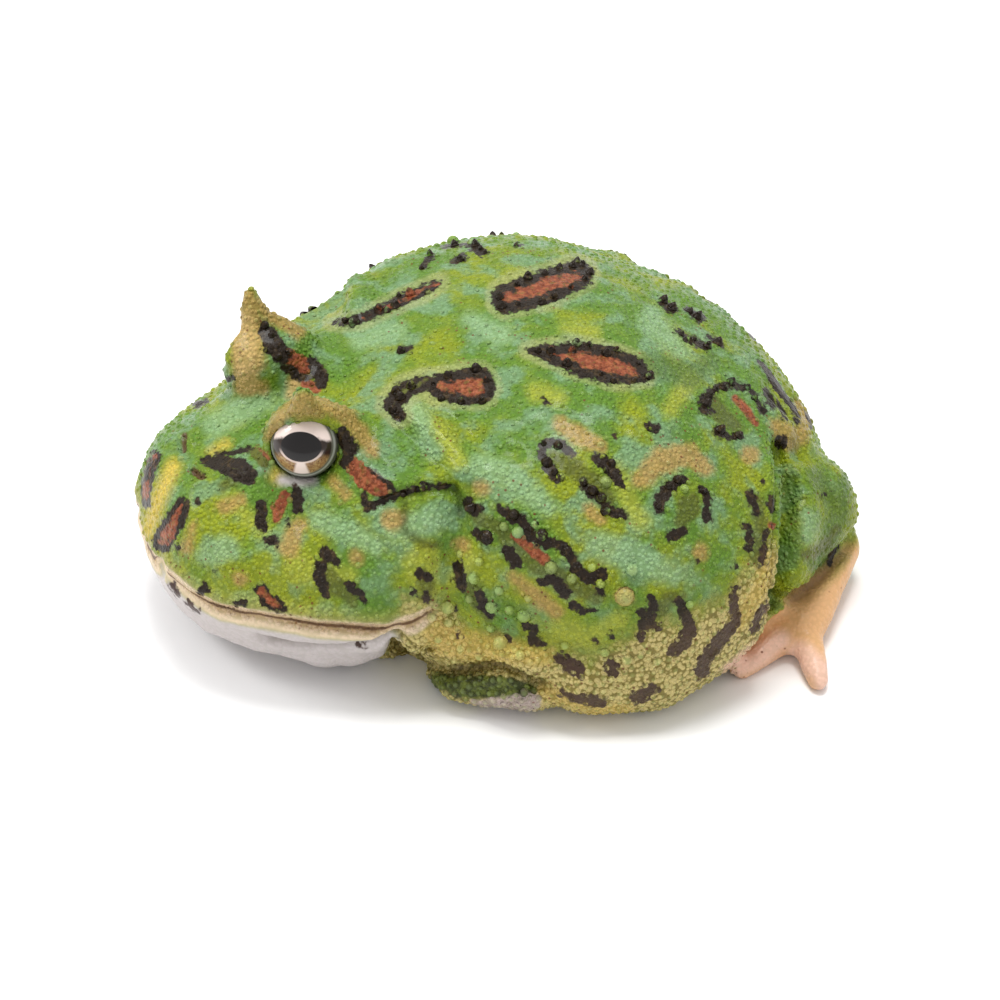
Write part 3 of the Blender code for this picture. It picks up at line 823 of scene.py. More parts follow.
@dataclass(frozen=True)
class SkinFinish:
    """The granular skin and its colours."""

    green: Point = (0.115, 0.235, 0.022)
    yellow_green: Point = (0.26, 0.31, 0.010)
    turquoise: Point = (0.19, 0.33, 0.165)
    dark: Point = (0.015, 0.008, 0.003)
    brown: Point = (0.07, 0.042, 0.012)
    olive: Point = (0.10, 0.11, 0.012)
    rust: Point = (0.19, 0.042, 0.015)
    rust_pale: Point = (0.31, 0.09, 0.034)
    tan: Point = (0.43, 0.27, 0.08)
    yellow: Point = (0.62, 0.46, 0.07)
    cream: Point = (0.60, 0.49, 0.19)
    # The cream's colour in the hollows between grains, darker as painted shade
    cream_gap: Point = (0.29, 0.22, 0.055)
    belly_edge: Point = (0.27, 0.26, 0.035)
    lilac: Point = (0.52, 0.47, 0.46)
    pink: Point = (0.78, 0.50, 0.38)
    halo: Point = (0.38, 0.40, 0.17)
    speck: Point = (0.16, 0.035, 0.012)
    # The deep green of some patches, also painted over the rump as painted shade
    deep: Point = (0.085, 0.16, 0.024)
    arm: Point = (0.05, 0.06, 0.012)
    arm_pale: Point = (0.14, 0.17, 0.025)
    hand: Point = (0.48, 0.38, 0.34)
    lime: Point = (0.37, 0.40, 0.04)
    mint: Point = (0.27, 0.43, 0.21)
    foot: Point = (0.70, 0.40, 0.19)
    ochre: Point = (0.62, 0.42, 0.09)
    pale: Point = (0.54, 0.37, 0.14)
    lip: Point = (0.74, 0.58, 0.40)
    lip_edge: Point = (0.40, 0.36, 0.10)
    # Painted shade beside the line between the lips
    lip_shade: Point = (0.42, 0.24, 0.09)
    purple: Point = (0.050, 0.024, 0.018)
    # Painted shade in the hollows between grains
    gap: Point = (0.45, 0.50, 0.35)
    # Painted shade in the creases
    shade: Point = (0.22, 0.20, 0.12)
    # Painted shade in the nostrils and in the line between the lips
    slit: Point = (0.10, 0.045, 0.018)
    # Painted highlight on the tips of warts
    tip: Point = (0.45, 0.58, 0.20)
    roughness: float = 0.28
    specular: float = 0.15
    coat: float = 0.16
    coat_roughness: float = 0.13
    bump_strength: float = 0.9
    bump_height: float = 0.34

    def cover(
        self, skin: Recipe, colour: Value, ragged: Value, layer: Layer, over: Value | Point | None = None
    ) -> Value:
        """Lay a soft colour over the skin's.

        Args:
            skin: The material.
            colour: The skin's colour so far.
            ragged: The noise of soft edges.
            layer: Where the soft colour shows.
            over: The soft colour, or None for the finish's colour of the layer's name.

        Returns:
            The skin's colour with the soft colour over it.
        """
        shows = (skin.attribute(layer.name) + ragged * layer.ragged).ramp(layer.low, layer.high)
        return skin.mix(shows * layer.share, colour, getattr(self, layer.name) if over is None else over)

    def greens(self, skin: Recipe, ragged: Value) -> Value:
        """The greens of the skin with their mint, lime and tan patches.

        Args:
            skin: The material.
            ragged: The noise of soft edges.

        Returns:
            The skin's colour so far.
        """
        big = skin.cloud(9.0, 3.0, 31.0)
        middle = skin.cloud(4.0, 3.0, 71.0)
        low = skin.attribute("low")
        colour = skin.mix((big + low * 0.12).ramp(0.42, 0.66), self.green, self.yellow_green)
        colour = skin.mix(middle.ramp(0.47, 0.64) * (0.85 - low * 0.5), colour, self.turquoise)
        for layer in MINT_AND_LIME:
            colour = self.cover(skin, colour, ragged, layer)
        halo = skin.attribute("halo") + (big - 0.5) * 1.6 + ragged * 0.7
        colour = skin.mix(halo.ramp(0.2, 1.1) * 0.6, colour, self.halo)
        for layer in TAN_AND_PALE:
            colour = self.cover(skin, colour, ragged, layer)
        return skin.mix(skin.attribute("yellow"), colour, self.yellow)

    def underparts(self, skin: Recipe, colour: Value, ragged: Value, gaps: Value) -> Value:
        """The cream belly, the limbs and the pale throat.

        Args:
            skin: The material.
            colour: The skin's colour so far.
            ragged: The noise of soft edges.
            gaps: 1 between the skin's grains.

        Returns:
            The skin's colour with them over it.
        """
        colour = self.cover(skin, colour, ragged, BELLY_EDGE, self.belly_edge)
        # Painted shade: the cream is darker in the hollows between grains
        colour = self.cover(skin, colour, ragged, CREAM, skin.mix(gaps, self.cream, self.cream_gap))
        for layer in OCHRE_AND_DEEP:
            colour = self.cover(skin, colour, ragged, layer)
        arm = skin.mix(skin.cloud(1.3, 3.0, 37.0).ramp(0.4, 0.62), self.arm, self.arm_pale)
        colour = self.cover(skin, colour, ragged, ARM, arm)
        colour = self.cover(skin, colour, ragged, HAND)
        colour = self.cover(skin, colour, ragged, OLIVE, self.olive)
        colour = skin.mix(skin.attribute("foot"), colour, self.foot)
        return skin.mix(skin.attribute("lilac"), colour, self.lilac)

    def lips(self, skin: Recipe, colour: Value, ragged: Value) -> Value:
        """The pale lips along the mouth, and the pink of the toes.

        Args:
            skin: The material.
            colour: The skin's colour so far.
            ragged: The noise of soft edges.

        Returns:
            The skin's colour with them over it.
        """
        muzzle = skin.attribute("muzzle")
        lip = skin.attribute("above_mouth") + ragged * 0.5
        colour = skin.mix(lip.ramp(3.8, 1.3) * lip.ramp(-2.2, -1.2) * muzzle * 0.7, colour, self.lip_edge)
        colour = skin.mix(lip.ramp(1.9, 0.9) * lip.ramp(-1.7, -0.9) * muzzle, colour, self.lip)
        return skin.mix(skin.attribute("pink"), colour, self.pink)

    def grain(self, skin: Recipe, colour: Value, gaps: Value) -> Value:
        """The red specks, painted shade between grains and a painted highlight on warts' tips.

        Args:
            skin: The material.
            colour: The skin's colour so far.
            gaps: 1 between the skin's grains.

        Returns:
            The skin's colour with them over it.
        """
        specks = skin.grains(1.1, 43.0).ramp(0.2, 0.1) * skin.cloud(7.0, 1.0, 91.0).ramp(0.5, 0.6)
        colour = skin.mix(specks * (1.0 - skin.attribute("lilac")) * 0.8, colour, self.speck)
        # Painted shade: the hollows between grains are darkened
        colour = skin.mix(gaps * skin.attribute("grainy") * 0.6, colour, self.gap, "MULTIPLY")
        # Painted highlight: the tips of warts are paler
        return skin.mix(skin.attribute("tip") * 0.4, colour, self.tip)

    def blotches(self, skin: Recipe, colour: Value, ragged: Value) -> Value:
        """The dark blotches with their rust or olive hearts.

        Args:
            skin: The material.
            colour: The skin's colour so far.
            ragged: The noise of soft edges.

        Returns:
            The skin's colour with them over it.
        """
        edge = skin.attribute("blotch") + skin.uneven(0.8, 11.0, 1.6)
        heart = skin.attribute("heart_depth") + skin.uneven(0.8, 5.0, 1.4) + skin.uneven(2.6, 13.0, 2.4, 2.0)
        cream = skin.attribute("cream")
        dark = skin.mix(cream.highest(skin.attribute("lilac")).ramp(0.2, 0.7), self.dark, self.purple)
        dark = skin.mix(skin.cloud(0.9, 3.0, 7.0).ramp(0.52, 0.70) * 0.6, dark, self.brown)
        rust = skin.mix(skin.cloud(0.7, 3.0, 77.0).ramp(0.40, 0.62), self.rust, self.rust_pale)
        inside = skin.mix(skin.attribute("olive"), rust, self.olive)
        inside = skin.mix(skin.cloud(0.8, 3.0, 57.0).ramp(0.5, 0.7) * 0.5, inside, self.olive)
        colour = self.cover(skin, colour, ragged, RUST, inside)
        colour = skin.mix(edge.ramp(0.2, -0.2) * (1.0 - cream * 0.06), colour, dark)
        return skin.mix(heart.ramp(0.15, -0.35), colour, inside)

    def furrows(self, skin: Recipe, colour: Value) -> Value:
        """The shade in the creases, the nostrils and the line between the lips.

        Args:
            skin: The material.
            colour: The skin's colour so far.

        Returns:
            The skin's colour with them over it.
        """
        # Painted shade: the colour is darkened along the creases
        colour = skin.mix(skin.attribute("crease").ramp(1.0, 0.1) * 0.6, colour, self.shade, "MULTIPLY")
        # Painted shade: the nostrils are painted dark
        colour = skin.mix(skin.attribute("slit").ramp(0.55, 0.20) * 0.9, colour, self.slit)
        mouth = skin.attribute("above_mouth")
        muzzle = skin.attribute("muzzle")
        # Painted shade along the line between the lips: a soft band, then a dark line
        for far, near, share, shade in ((0.75, 0.1, 0.5, self.lip_shade), (0.26, 0.06, 0.9, self.slit)):
            shows = mouth.ramp(far, near) * mouth.ramp(-far, -near) * muzzle * share
            colour = skin.mix(shows, colour, shade)
        return colour

    def material(self) -> bpy.types.Material:
        """Build the skin's material from the numbers that its mesh keeps."""
        skin = Recipe("frog_skin")
        ragged = skin.uneven(1.6, 23.0, 1.1)
        cells = skin.grains(0.62)
        # The hollows between grains, which the bump sinks and the colour darkens as painted shade
        gaps = cells.ramp(0.44, 0.68)
        colour = self.greens(skin, ragged)
        colour = self.underparts(skin, colour, ragged, gaps)
        colour = self.lips(skin, colour, ragged)
        colour = self.grain(skin, colour, gaps)
        colour = self.blotches(skin, colour, ragged)
        colour = self.furrows(skin, colour)
        relief = (1.0 - cells.ramp(0.0, 0.62)) + skin.cloud(0.3, 2.0, 3.0) * 0.5
        relief = relief * skin.attribute("grainy") + skin.cloud(1.7, 2.0, 29.0) * 0.8
        bump = {"Strength": self.bump_strength, "Distance": self.bump_height * MM, "Height": relief}
        return skin.finish(
            Base_Color=colour,
            Roughness=self.roughness + skin.cloud(1.3, 2.0, 17.0) * 0.3,
            Normal=skin.node("ShaderNodeBump", {}, bump, "Normal"),
            Specular_IOR_Level=self.specular,
            Coat_Weight=self.coat,
            Coat_Roughness=self.coat_roughness,
        )


@dataclass(frozen=True)
class EyeFinish:
    """The eyeball: a horizontal pupil in a banded iris, a painted reflection on top, under a wet gloss.

    Attributes:
        pupil_width: Half the pupil's width, for an eyeball of radius 1.
        pupil_height: Half its height.
    """

    pupil: Point = (0.006, 0.004, 0.004)
    # The painted reflection of the light along the top, and the wedge and rim below the pupil
    pale: Point = (0.80, 0.66, 0.60)
    amber: Point = (0.24, 0.12, 0.05)
    dark: Point = (0.025, 0.014, 0.010)
    gold: Point = (0.38, 0.25, 0.10)
    ring: Point = (0.13, 0.13, 0.10)
    ring_line: Point = (0.42, 0.44, 0.38)
    pupil_width: float = 0.56
    pupil_height: float = 0.42
    roughness: float = 0.4
    specular: float = 0.1
    coat_ior: float = 1.36
    coat_roughness: float = 0.03

    def material(self) -> bpy.types.Material:
        """Build the eyeball's material from its numbers across and up."""
        eye = Recipe("frog_eye")
        across, up = eye.attribute("across"), eye.attribute("up")
        radius = (across * across + up * up) ** 0.5
        wide = across * (1 / self.pupil_width)
        high = up * (1 / self.pupil_height)
        pupil = (wide * wide + high * high) ** 0.5
        flecks = eye.cloud(0.35, 4.0, 3.0, 0.7)
        band = up + across * across * 0.22 + eye.uneven(0.5, 0.0, 0.10)
        # Painted reflection: a pale band of the light across the top
        colour = eye.mix(band.ramp(0.22, 0.34), self.dark, self.pale)
        amber = eye.mix(flecks.ramp(0.42, 0.62), self.amber, self.gold)
        colour = eye.mix(band.ramp(-0.05, -0.30) * flecks.ramp(0.25, 0.45), colour, amber)
        wedge = (across * across) ** 0.5 + (up + 0.55) * 0.3
        colour = eye.mix(wedge.ramp(0.20, 0.10) * up.ramp(-0.38, -0.46), colour, self.pale)
        rim = (pupil + eye.uneven(0.4, 0.0, 0.05, 2.0)).ramp(1.16, 1.10) * up.ramp(-0.05, -0.25) * 0.7
        colour = eye.mix(rim, colour, self.pale)
        colour = eye.mix(pupil.ramp(1.03, 0.98), colour, self.pupil)
        colour = eye.mix(radius.ramp(0.78, 0.84), colour, self.ring)
        line = radius.ramp(0.845, 0.87) * radius.ramp(0.92, 0.885)
        colour = eye.mix(line * 0.8, colour, self.ring_line)
        return eye.finish(
            Base_Color=colour,
            Roughness=self.roughness,
            Specular_IOR_Level=self.specular,
            Coat_Weight=1.0,
            Coat_IOR=self.coat_ior,
            Coat_Roughness=self.coat_roughness,
        )


@dataclass(frozen=True)
class FloorFinish:
    """The plain pale floor."""

    colour: Point = (0.94, 0.94, 0.94)

    def material(self) -> bpy.types.Material:
        """Build the floor's material."""
        return Recipe("pale_floor").finish(Base_Color=self.colour, Roughness=0.9)


def places_of(mesh: bpy.types.Mesh) -> np.ndarray:
    """The places of a mesh's vertices in millimetres, one to a row."""
    flat = np.empty(3 * len(mesh.vertices), np.float32)
    mesh.vertices.foreach_get("co", flat)
    return flat.reshape(-1, 3).astype(float) / MM


def normals_of(mesh: bpy.types.Mesh) -> np.ndarray:
    """The normals of a mesh's vertices, one to a row."""
    flat = np.empty(3 * len(mesh.vertices), np.float32)
    mesh.vertex_normals.foreach_get("vector", flat)
    return flat.reshape(-1, 3).astype(float)


def move_to(mesh: bpy.types.Mesh, places: np.ndarray) -> None:
    """Put a mesh's vertices at places in millimetres."""
    mesh.vertices.foreach_set("co", (places * MM).astype(np.float32).ravel())
    mesh.update()


def keep_numbers(mesh: bpy.types.Mesh, name: str, numbers: np.ndarray) -> None:
    """Keep a number for each vertex, for the material to read."""
    attribute = mesh.attributes.get(name) or mesh.attributes.new(name, "FLOAT", "POINT")
    attribute.data.foreach_set("value", numbers.astype(np.float32))


def object_from(name: str, bm: bmesh.types.BMesh) -> bpy.types.Object:
    """Make an object of a bmesh, which is used up, and link it into the scene.

    Args:
        name: The object's name.
        bm: The bmesh.

    Returns:
        The object.
    """
    mesh = bpy.data.meshes.new(name)
    bm.to_mesh(mesh)
    bm.free()
    obj = bpy.data.objects.new(name, mesh)
    bpy.context.scene.collection.objects.link(obj)
    return obj


def apply_modifiers(obj: bpy.types.Object) -> None:
    """Give an object the mesh that its modifiers make."""
    graph = bpy.context.evaluated_depsgraph_get()
    mesh = bpy.data.meshes.new_from_object(obj.evaluated_get(graph))
    obj.modifiers.clear()
    obj.data = mesh


def unit(ways: np.ndarray) -> np.ndarray:
    """Directions of length 1, one to a row."""
    return ways / np.linalg.norm(ways, axis=-1, keepdims=True)


def rise(numbers: np.ndarray, start: float, width: float) -> np.ndarray:
    """Shares that are 0 up to a start, and then rise to 1 over a width."""
    return np.clip((numbers - start) / width, 0, 1)


def fall(numbers: np.ndarray, end: float, width: float) -> np.ndarray:
    """Shares that fall from 1 over a width, and are 0 from an end on."""
    return np.clip((end - numbers) / width, 0, 1)


def close_set(line: Sequence[Pixel], step: float = 7.0) -> list[Pixel]:
    """A line of pixels with more of them.

    Args:
        line: The pixels.
        step: How far apart two may be at most.

    Returns:
        The pixels, close together.
    """
    dense = [line[0]]
    for start, end in zip(line, line[1:]):
        pieces = max(1, math.ceil(math.dist(start, end) / step))
        dense += [tuple(np.add(start, np.subtract(end, start) * i / pieces)) for i in range(1, pieces + 1)]
    return dense


def distance_to_run(places: np.ndarray, run: Sequence[Point]) -> np.ndarray:
    """How far each place is from a run of straight lines.

    Args:
        places: Places, one to a row.
        run: The places that the lines join.

    Returns:
        The distance of each place.
    """
    nearest = np.full(len(places), np.inf)
    for start, end in zip(run, run[1:]):
        a, along = np.array(start), np.subtract(end, start)
        share = np.clip((places - a) @ along / (along @ along), 0, 1)
        nearest = np.minimum(nearest, np.linalg.norm(places - a - share[:, None] * along, axis=1))
    return nearest


def distance_to_chain(places: np.ndarray, chain: Sequence[tuple[np.ndarray, float]]) -> np.ndarray:
    """How far each place is outside a chain of balls, or of discs, that run into each other.

    Args:
        places: Places, one to a row.
        chain: The centre and radius of each ball or disc.

    Returns:
        The distance of each place, less than 0 inside.
    """
    centre, radius = chain[0]
    nearest = np.linalg.norm(places - centre, axis=1) - radius
    for (start, first), (end, last) in zip(chain, chain[1:]):
        along = end - start
        share = np.clip((places - start) @ along / max(along @ along, 1e-9), 0, 1)
        away = np.linalg.norm(places - start - share[:, None] * along, axis=1)
        nearest = np.minimum(nearest, away - first - share * (last - first))
    return nearest


@dataclass
class Skin:
    """One skin over the frog's solids, with its folds, its markings and the places of its warts.

    Attributes:
        camera: The camera that the markings are placed through.
        grow: How far each solid is grown before they are joined, to close the cuts.
        voxel: Size of the grid that joins them.
        soften: Rounds of smoothing after that.
        rim_reach: How far the middle of the upper lid's edge is from the eye's middle.
        rim_radius: How thick that edge is, as a radius.
        jaw_top: How high above the floor the jaw's edge still moves.
        jaw_fade: The height that this fades over, there and at the floor.
        mirror_wave: How far the right side's markings are shifted along y and z, against a true mirror.
        mirror_step: The length of that shift's waves, for 1 radian.
        slant_fade: How fast the copy on the right fades on skin that the camera sees.
        lump_fade: How high above the floor the soft lumps are in full.
        halo_middle: How far outside a blotch its halo is palest.
        halo_reach: How far from there it ends.
        halo_fade: How wide its fading is.
        cream_fade: How many millimetres the cream of the belly fades over.
        rump_shade: How strongly the rump is darkened towards the deep green, as painted shade.
        smoothness: How much smoother the throat and the feet are.
    """

    camera: PhotoCamera
    grow: float = 0.25
    voxel: float = 0.52
    soften: int = 6
    rim_reach: float = 4.9
    rim_radius: float = 1.0
    jaw_top: float = 12.5
    jaw_fade: float = 5.0
    mirror_wave: tuple[float, float] = (2.2, 1.6)
    mirror_step: tuple[float, float] = (6.0, 7.0)
    slant_fade: float = 8.0
    lump_fade: float = 3.0
    halo_middle: float = 0.3
    halo_reach: float = 1.17
    halo_fade: float = 0.9
    cream_fade: float = 7.0
    rump_shade: float = 0.45
    smoothness: float = 0.75
    tree: BVHTree = field(init=False)
    piece: bpy.types.Object = field(init=False)

    def join_flesh(self, nodes: dict[str, bpy.types.Object]) -> None:
        """Join copies of the flesh nodes in one closed skin.

        Args:
            nodes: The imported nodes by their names.
        """
        whole = bmesh.new()
        for name in FLESH:
            body = bmesh.new()
            body.from_mesh(nodes[name].data)
            bmesh.ops.remove_doubles(body, verts=body.verts, dist=1e-6)
            body.normal_update()
            for vertex, normal in [(v, v.normal.copy()) for v in body.verts]:
                vertex.co += normal * self.grow * MM
            if name == "lower_jaw":
                self.hang(body)
            grown = bpy.data.meshes.new(name)
            body.to_mesh(grown)
            body.free()
            whole.from_mesh(grown)
            bpy.data.meshes.remove(grown)
        self.add_lid_rims(whole)
        for side in Side:
            for x, y, z, radius in THROAT:
                place = Matrix.Translation(Vector((x * side.value, y, z)) * MM)
                bmesh.ops.create_icosphere(whole, subdivisions=3, radius=radius * MM, matrix=place)
        self.piece = object_from("skin", whole)
        remesh = self.piece.modifiers.new("remesh", "REMESH")
        remesh.mode = "VOXEL"
        remesh.voxel_size = self.voxel * MM
        apply_modifiers(self.piece)
        self.keep_largest()
        smooth = self.piece.modifiers.new("smooth", "SMOOTH")
        smooth.iterations = self.soften
        apply_modifiers(self.piece)

    def hang(self, jaw: bmesh.types.BMesh) -> None:
        """Let the jaw's edge hang lower at the chin and higher at the mouth's corner, above the floor.

        Args:
            jaw: The lower jaw that is going to be joined.
        """
        y, up = np.array(JAW_SAG).T
        for vertex in jaw.verts:
            z = vertex.co.z / MM
            below_top = min(max((self.jaw_top - z) / self.jaw_fade, 0.0), 1.0)
            share = below_top * min(max(z / self.jaw_fade, 0.0), 1.0)
            vertex.co.z += float(np.interp(vertex.co.y / MM, y, up)) * share * MM

    def add_lid_rims(self, whole: bmesh.types.BMesh) -> None:
        """Add the thick edge of each upper lid, which hangs over the top of the eyeball.

        Args:
            whole: The flesh that is going to be joined.
        """
        right, up, back = self.camera.axes
        for side in Side:
            balls = []
            for across, above in LID_RIM:
                out = math.sqrt(self.rim_reach**2 - across**2 - above**2)
                centre = (EYE_CENTRE + right * across + up * above + back * out) * (side.value, 1, 1)
                balls.append(Vector(centre * MM))
            for start, end in zip(balls, balls[1:]):
                for share in (0.0, 0.5, 1.0):
                    place = Matrix.Translation(start.lerp(end, share))
                    bmesh.ops.create_icosphere(
                        whole, subdivisions=2, radius=self.rim_radius * MM, matrix=place
                    )

    def keep_largest(self) -> None:
        """Drop every loose body of the skin but the largest."""
        bm = bmesh.new()
        bm.from_mesh(self.piece.data)
        unseen = set(bm.verts)
        bodies = []
        while unseen:
            body, edge = set(), [unseen.pop()]
            while edge:
                vertex = edge.pop()
                body.add(vertex)
                near = {e.other_vert(vertex) for e in vertex.link_edges} & unseen
                unseen -= near
                edge += near
            bodies.append(body)
        keep = max(bodies, key=len)
        bmesh.ops.delete(bm, geom=[v for v in bm.verts if v not in keep], context="VERTS")
        bm.to_mesh(self.piece.data)
        bm.free()

    def read(self) -> None:
        """Take in where the skin is, for casting onto it."""
        bm = bmesh.new()
        bm.from_mesh(self.piece.data)
        self.tree = BVHTree.FromBMesh(bm)
        bm.free()
        self.places = places_of(self.piece.data)
        self.normals = normals_of(self.piece.data)
        self.pixels = self.camera.pixels(self.places)
        x, y, z = self.places.T
        along_y = self.mirror_wave[0] * np.sin(z / self.mirror_step[0] + 1.0)
        along_z = self.mirror_wave[1] * np.sin(y / self.mirror_step[1])
        self.mirrored = self.places * (-1, 1, 1) + np.stack((x * 0, along_y, along_z), 1)
        self.mirrored_pixels = self.camera.pixels(self.mirrored)
        self.facing = np.einsum("ij,ij->i", self.normals, unit(self.camera.place - self.places))

    def hit(self, x: float, y: float) -> np.ndarray | None:
        """The place on the skin under a pixel of the photograph.

        Args:
            x: The pixel's place from the picture's left.
            y: Its place from the top.

        Returns:
            The place in millimetres, or None where the pixel is beside the frog.
        """
        origin = Vector(self.camera.place * MM)
        found = self.tree.ray_cast(origin, Vector(self.camera.ray(x, y)))[0]
        return None if found is None else np.array(found) / MM

    def nearest(self, place: np.ndarray) -> int:
        """The number of the vertex that is nearest to a place."""
        return int(((self.places - place) ** 2).sum(1).argmin())

    def chain(self, discs: Sequence[Disc]) -> list[tuple[np.ndarray, float]]:
        """Balls on the skin that look like discs in the photograph.

        Args:
            discs: The x, y and radius of each disc in pixels.

        Returns:
            The centre and radius of each ball whose middle is on the skin.
        """
        balls = []
        for x, y, radius in discs:
            centre = self.hit(x, y)
            if centre is None:
                continue
            near = self.camera.focal / np.linalg.norm(centre - self.camera.place)
            balls.append((centre, radius / near))
        return balls

    def distance_to_marking(self, discs: Sequence[Disc]) -> np.ndarray:
        """How far each vertex is outside a marking: its outline in the photograph, on the skin it lies on.

        Args:
            discs: The x, y and radius in pixels of discs that run into each other.

        Returns:
            The distance of each vertex in millimetres, less than 0 inside.
        """
        chain = self.chain(discs)
        away = np.full(len(self.places), FAR)
        if not chain:
            return away
        reach = SLANT_REACH * max(radius for _, radius in chain) + 1.0
        flat = [(np.array((x, y)), radius) for x, y, radius in discs]
        copies = [(self.places, self.pixels, np.zeros(len(away)))]
        if chain[0][0][0] > MIRRORED_FROM:
            slant = self.slant_fade * np.maximum(self.facing + 0.15, 0)
            copies.append((self.mirrored, self.mirrored_pixels, slant))
        for places, pixels, fade in copies:
            on_skin = distance_to_chain(places, chain)
            near = on_skin < FAR + reach
            in_picture = distance_to_chain(pixels[near], flat) / PIXELS_PER_MM
            found = np.maximum(in_picture, on_skin[near] - reach) + fade[near]
            away[near] = np.minimum(away[near], found)
        return away

    def field_of(self, patches: Sequence[Patch]) -> np.ndarray:
        """How far each vertex is outside the nearest of some patches.

        Args:
            patches: The patches.

        Returns:
            The distance of each vertex in millimetres, at most FAR.
        """
        nearest = np.full(len(self.places), FAR)
        for patch in patches:
            nearest = np.minimum(nearest, self.distance_to_marking(patch.discs))
        return nearest

    def raise_folds(self, folds: Sequence[Fold]) -> None:
        """Raise ridges and sink furrows along the skin's normals, on both sides at once.

        Args:
            folds: The folds, placed by pixels of the photograph.
        """
        lift = np.zeros(len(self.places))
        for fold in folds:
            lift += fold.height * np.exp(-((self.distance_to_lines([fold.run]) / fold.width) ** 2))
        move_to(self.piece.data, self.places + lift[:, None] * self.normals)
        self.read()

    def line_of(self, run: Sequence[Pixel]) -> tuple[np.ndarray, np.ndarray]:
        """The y and z in millimetres of the skin under a run of pixels, in the order of y."""
        places = [place for place in (self.hit(*pixel) for pixel in run) if place is not None]
        return tuple(np.array(sorted((place[1], place[2]) for place in places)).T)

    def distance_to_lines(self, lines: Sequence[Sequence[Pixel]]) -> np.ndarray:
        """How far each vertex is from the nearest of some lines that are alike on both sides of the frog.

        Args:
            lines: The lines, by pixels of the photograph.

        Returns:
            The distance of each vertex in millimetres, at most FAR.
        """
        folded = self.places.copy()
        folded[:, 0] = np.abs(folded[:, 0])
        nearest = np.full(len(folded), FAR)
        for line in lines:
            run = [place for place in (self.hit(*pixel) for pixel in close_set(line)) if place is not None]
            nearest = np.minimum(nearest, distance_to_run(folded, run))
        return nearest

    def roughen(self) -> None:
        """Give the skin its soft lumps."""
        lift = np.zeros(len(self.places))
        for size, height in LUMPS:
            lift += [height * noise.noise(Vector(place / size)) for place in self.places]
        lift *= rise(self.places[:, 2], 0.0, self.lump_fade)
        move_to(self.piece.data, self.places + lift[:, None] * self.normals)
        self.read()

    def mark_blotches(self) -> None:
        """Keep how far each vertex is outside the dark blotches and their hearts, and where halos are."""
        mesh = self.piece.data
        edge = np.full(len(self.places), FAR)
        heart = edge.copy()
        olive = np.zeros(len(self.places))
        for blotch in (*BACK_BLOTCHES, *RUMP_BLOTCHES, *FLANK_BLOTCHES, *FACE_BLOTCHES, *FAR_LID_BLOTCHES):
            away = self.distance_to_marking(blotch.discs)
            edge = np.minimum(edge, away)
            if blotch.heart is Heart.DARK:
                continue
            depth = away + blotch.rim
            olive = np.where(depth < heart, float(blotch.heart is Heart.OLIVE), olive)
            heart = np.minimum(heart, depth)
        for blotch in REAR_BLOTCHES:
            balls = [(self.places[self.nearest(np.array(ball[:3]))], ball[3]) for ball in blotch]
            edge = np.minimum(edge, distance_to_chain(self.places, balls))
        keep_numbers(mesh, "blotch", edge)
        keep_numbers(mesh, "heart_depth", heart)
        keep_numbers(mesh, "olive", olive)
        large = [blotch for blotch in BACK_BLOTCHES if blotch.heart is not Heart.DARK]
        outside = np.min([self.distance_to_marking(blotch.discs) for blotch in large], axis=0)
        keep_numbers(mesh, "halo", fall(np.abs(outside - self.halo_middle), self.halo_reach, self.halo_fade))

    def mark_regions(self) -> None:
        """Keep where the soft patches, the cream belly, the lips, the throat and the feet are."""
        mesh = self.piece.data
        soft = {name: fall(self.field_of(patches), fade / 2, fade) for name, patches, fade in SOFT_PATCHES}
        x, y, z = self.places.T
        cream_y, cream_z = self.line_of(CREAM_LINE)
        mouth_y, mouth_z = self.line_of(MOUTH_LINE)
        below_cream = np.interp(y, cream_y, cream_z) - z
        above_mouth = z - np.interp(y, mouth_y, mouth_z)
        throat = fall(y, self.hit(*THROAT_END)[1], 1.0)
        body = (1 - throat) * fall(y, cream_y[-1] + 1.0, 1.5)
        foot = fall(z, 7.0, 1.5) * rise(y, 21.0, 1.0) * rise(np.abs(x), 20.0, 3.0)
        soft["lilac"] = np.maximum(soft["lilac"], fall(above_mouth, -0.5, 0.5) * throat)
        soft["foot"] = foot
        # Painted shade: the rump is darkened towards the deep green
        soft["deep"] = np.maximum(soft["deep"], self.rump_shade * rise(y, 24.0, 12.0) * rise(z, 17.0, 5.0))
        for name, numbers in soft.items():
            keep_numbers(mesh, name, numbers)
        keep_numbers(mesh, "cream", np.clip(0.5 + below_cream / self.cream_fade, 0, 1) * body * (1 - foot))
        keep_numbers(mesh, "above_mouth", np.clip(above_mouth, -FAR, FAR))
        keep_numbers(mesh, "muzzle", fall(y, mouth_y[-1] + 1.0, 2.0))
        keep_numbers(mesh, "grainy", 1 - self.smoothness * np.maximum(soft["lilac"], foot))
        keep_numbers(mesh, "low", fall(z, 26.0, 14.0))
        # The skin itself has no painted highlight; the warts' tips have theirs
        keep_numbers(mesh, "tip", np.zeros(len(z)))

    def build(self, nodes: dict[str, bpy.types.Object]) -> bpy.types.Object:
        """Build the skin over the flesh nodes, mark it and dress it.

        Args:
            nodes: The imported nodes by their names.

        Returns:
            The skin.
        """
        self.join_flesh(nodes)
        self.read()
        move_to(self.piece.data, self.places - self.normals * self.grow)
        self.read()
        # Kept before the folds move the skin, because the lines are cast onto it as it is now
        for name, lines in (("crease", CREASES), ("slit", SLITS)):
            keep_numbers(self.piece.data, name, self.distance_to_lines(lines))
        self.raise_folds(BROAD_FOLDS)
        self.raise_folds(FINE_FOLDS)
        self.roughen()
        self.mark_blotches()
        self.mark_regions()
        self.piece.data.materials.clear()
        self.piece.data.materials.append(SkinFinish().material())
        self.piece.data.shade_smooth()
        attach(self.piece, "root")
        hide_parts(*FLESH)
        log.info("skin: %d faces", len(self.piece.data.polygons))
        return self.piece


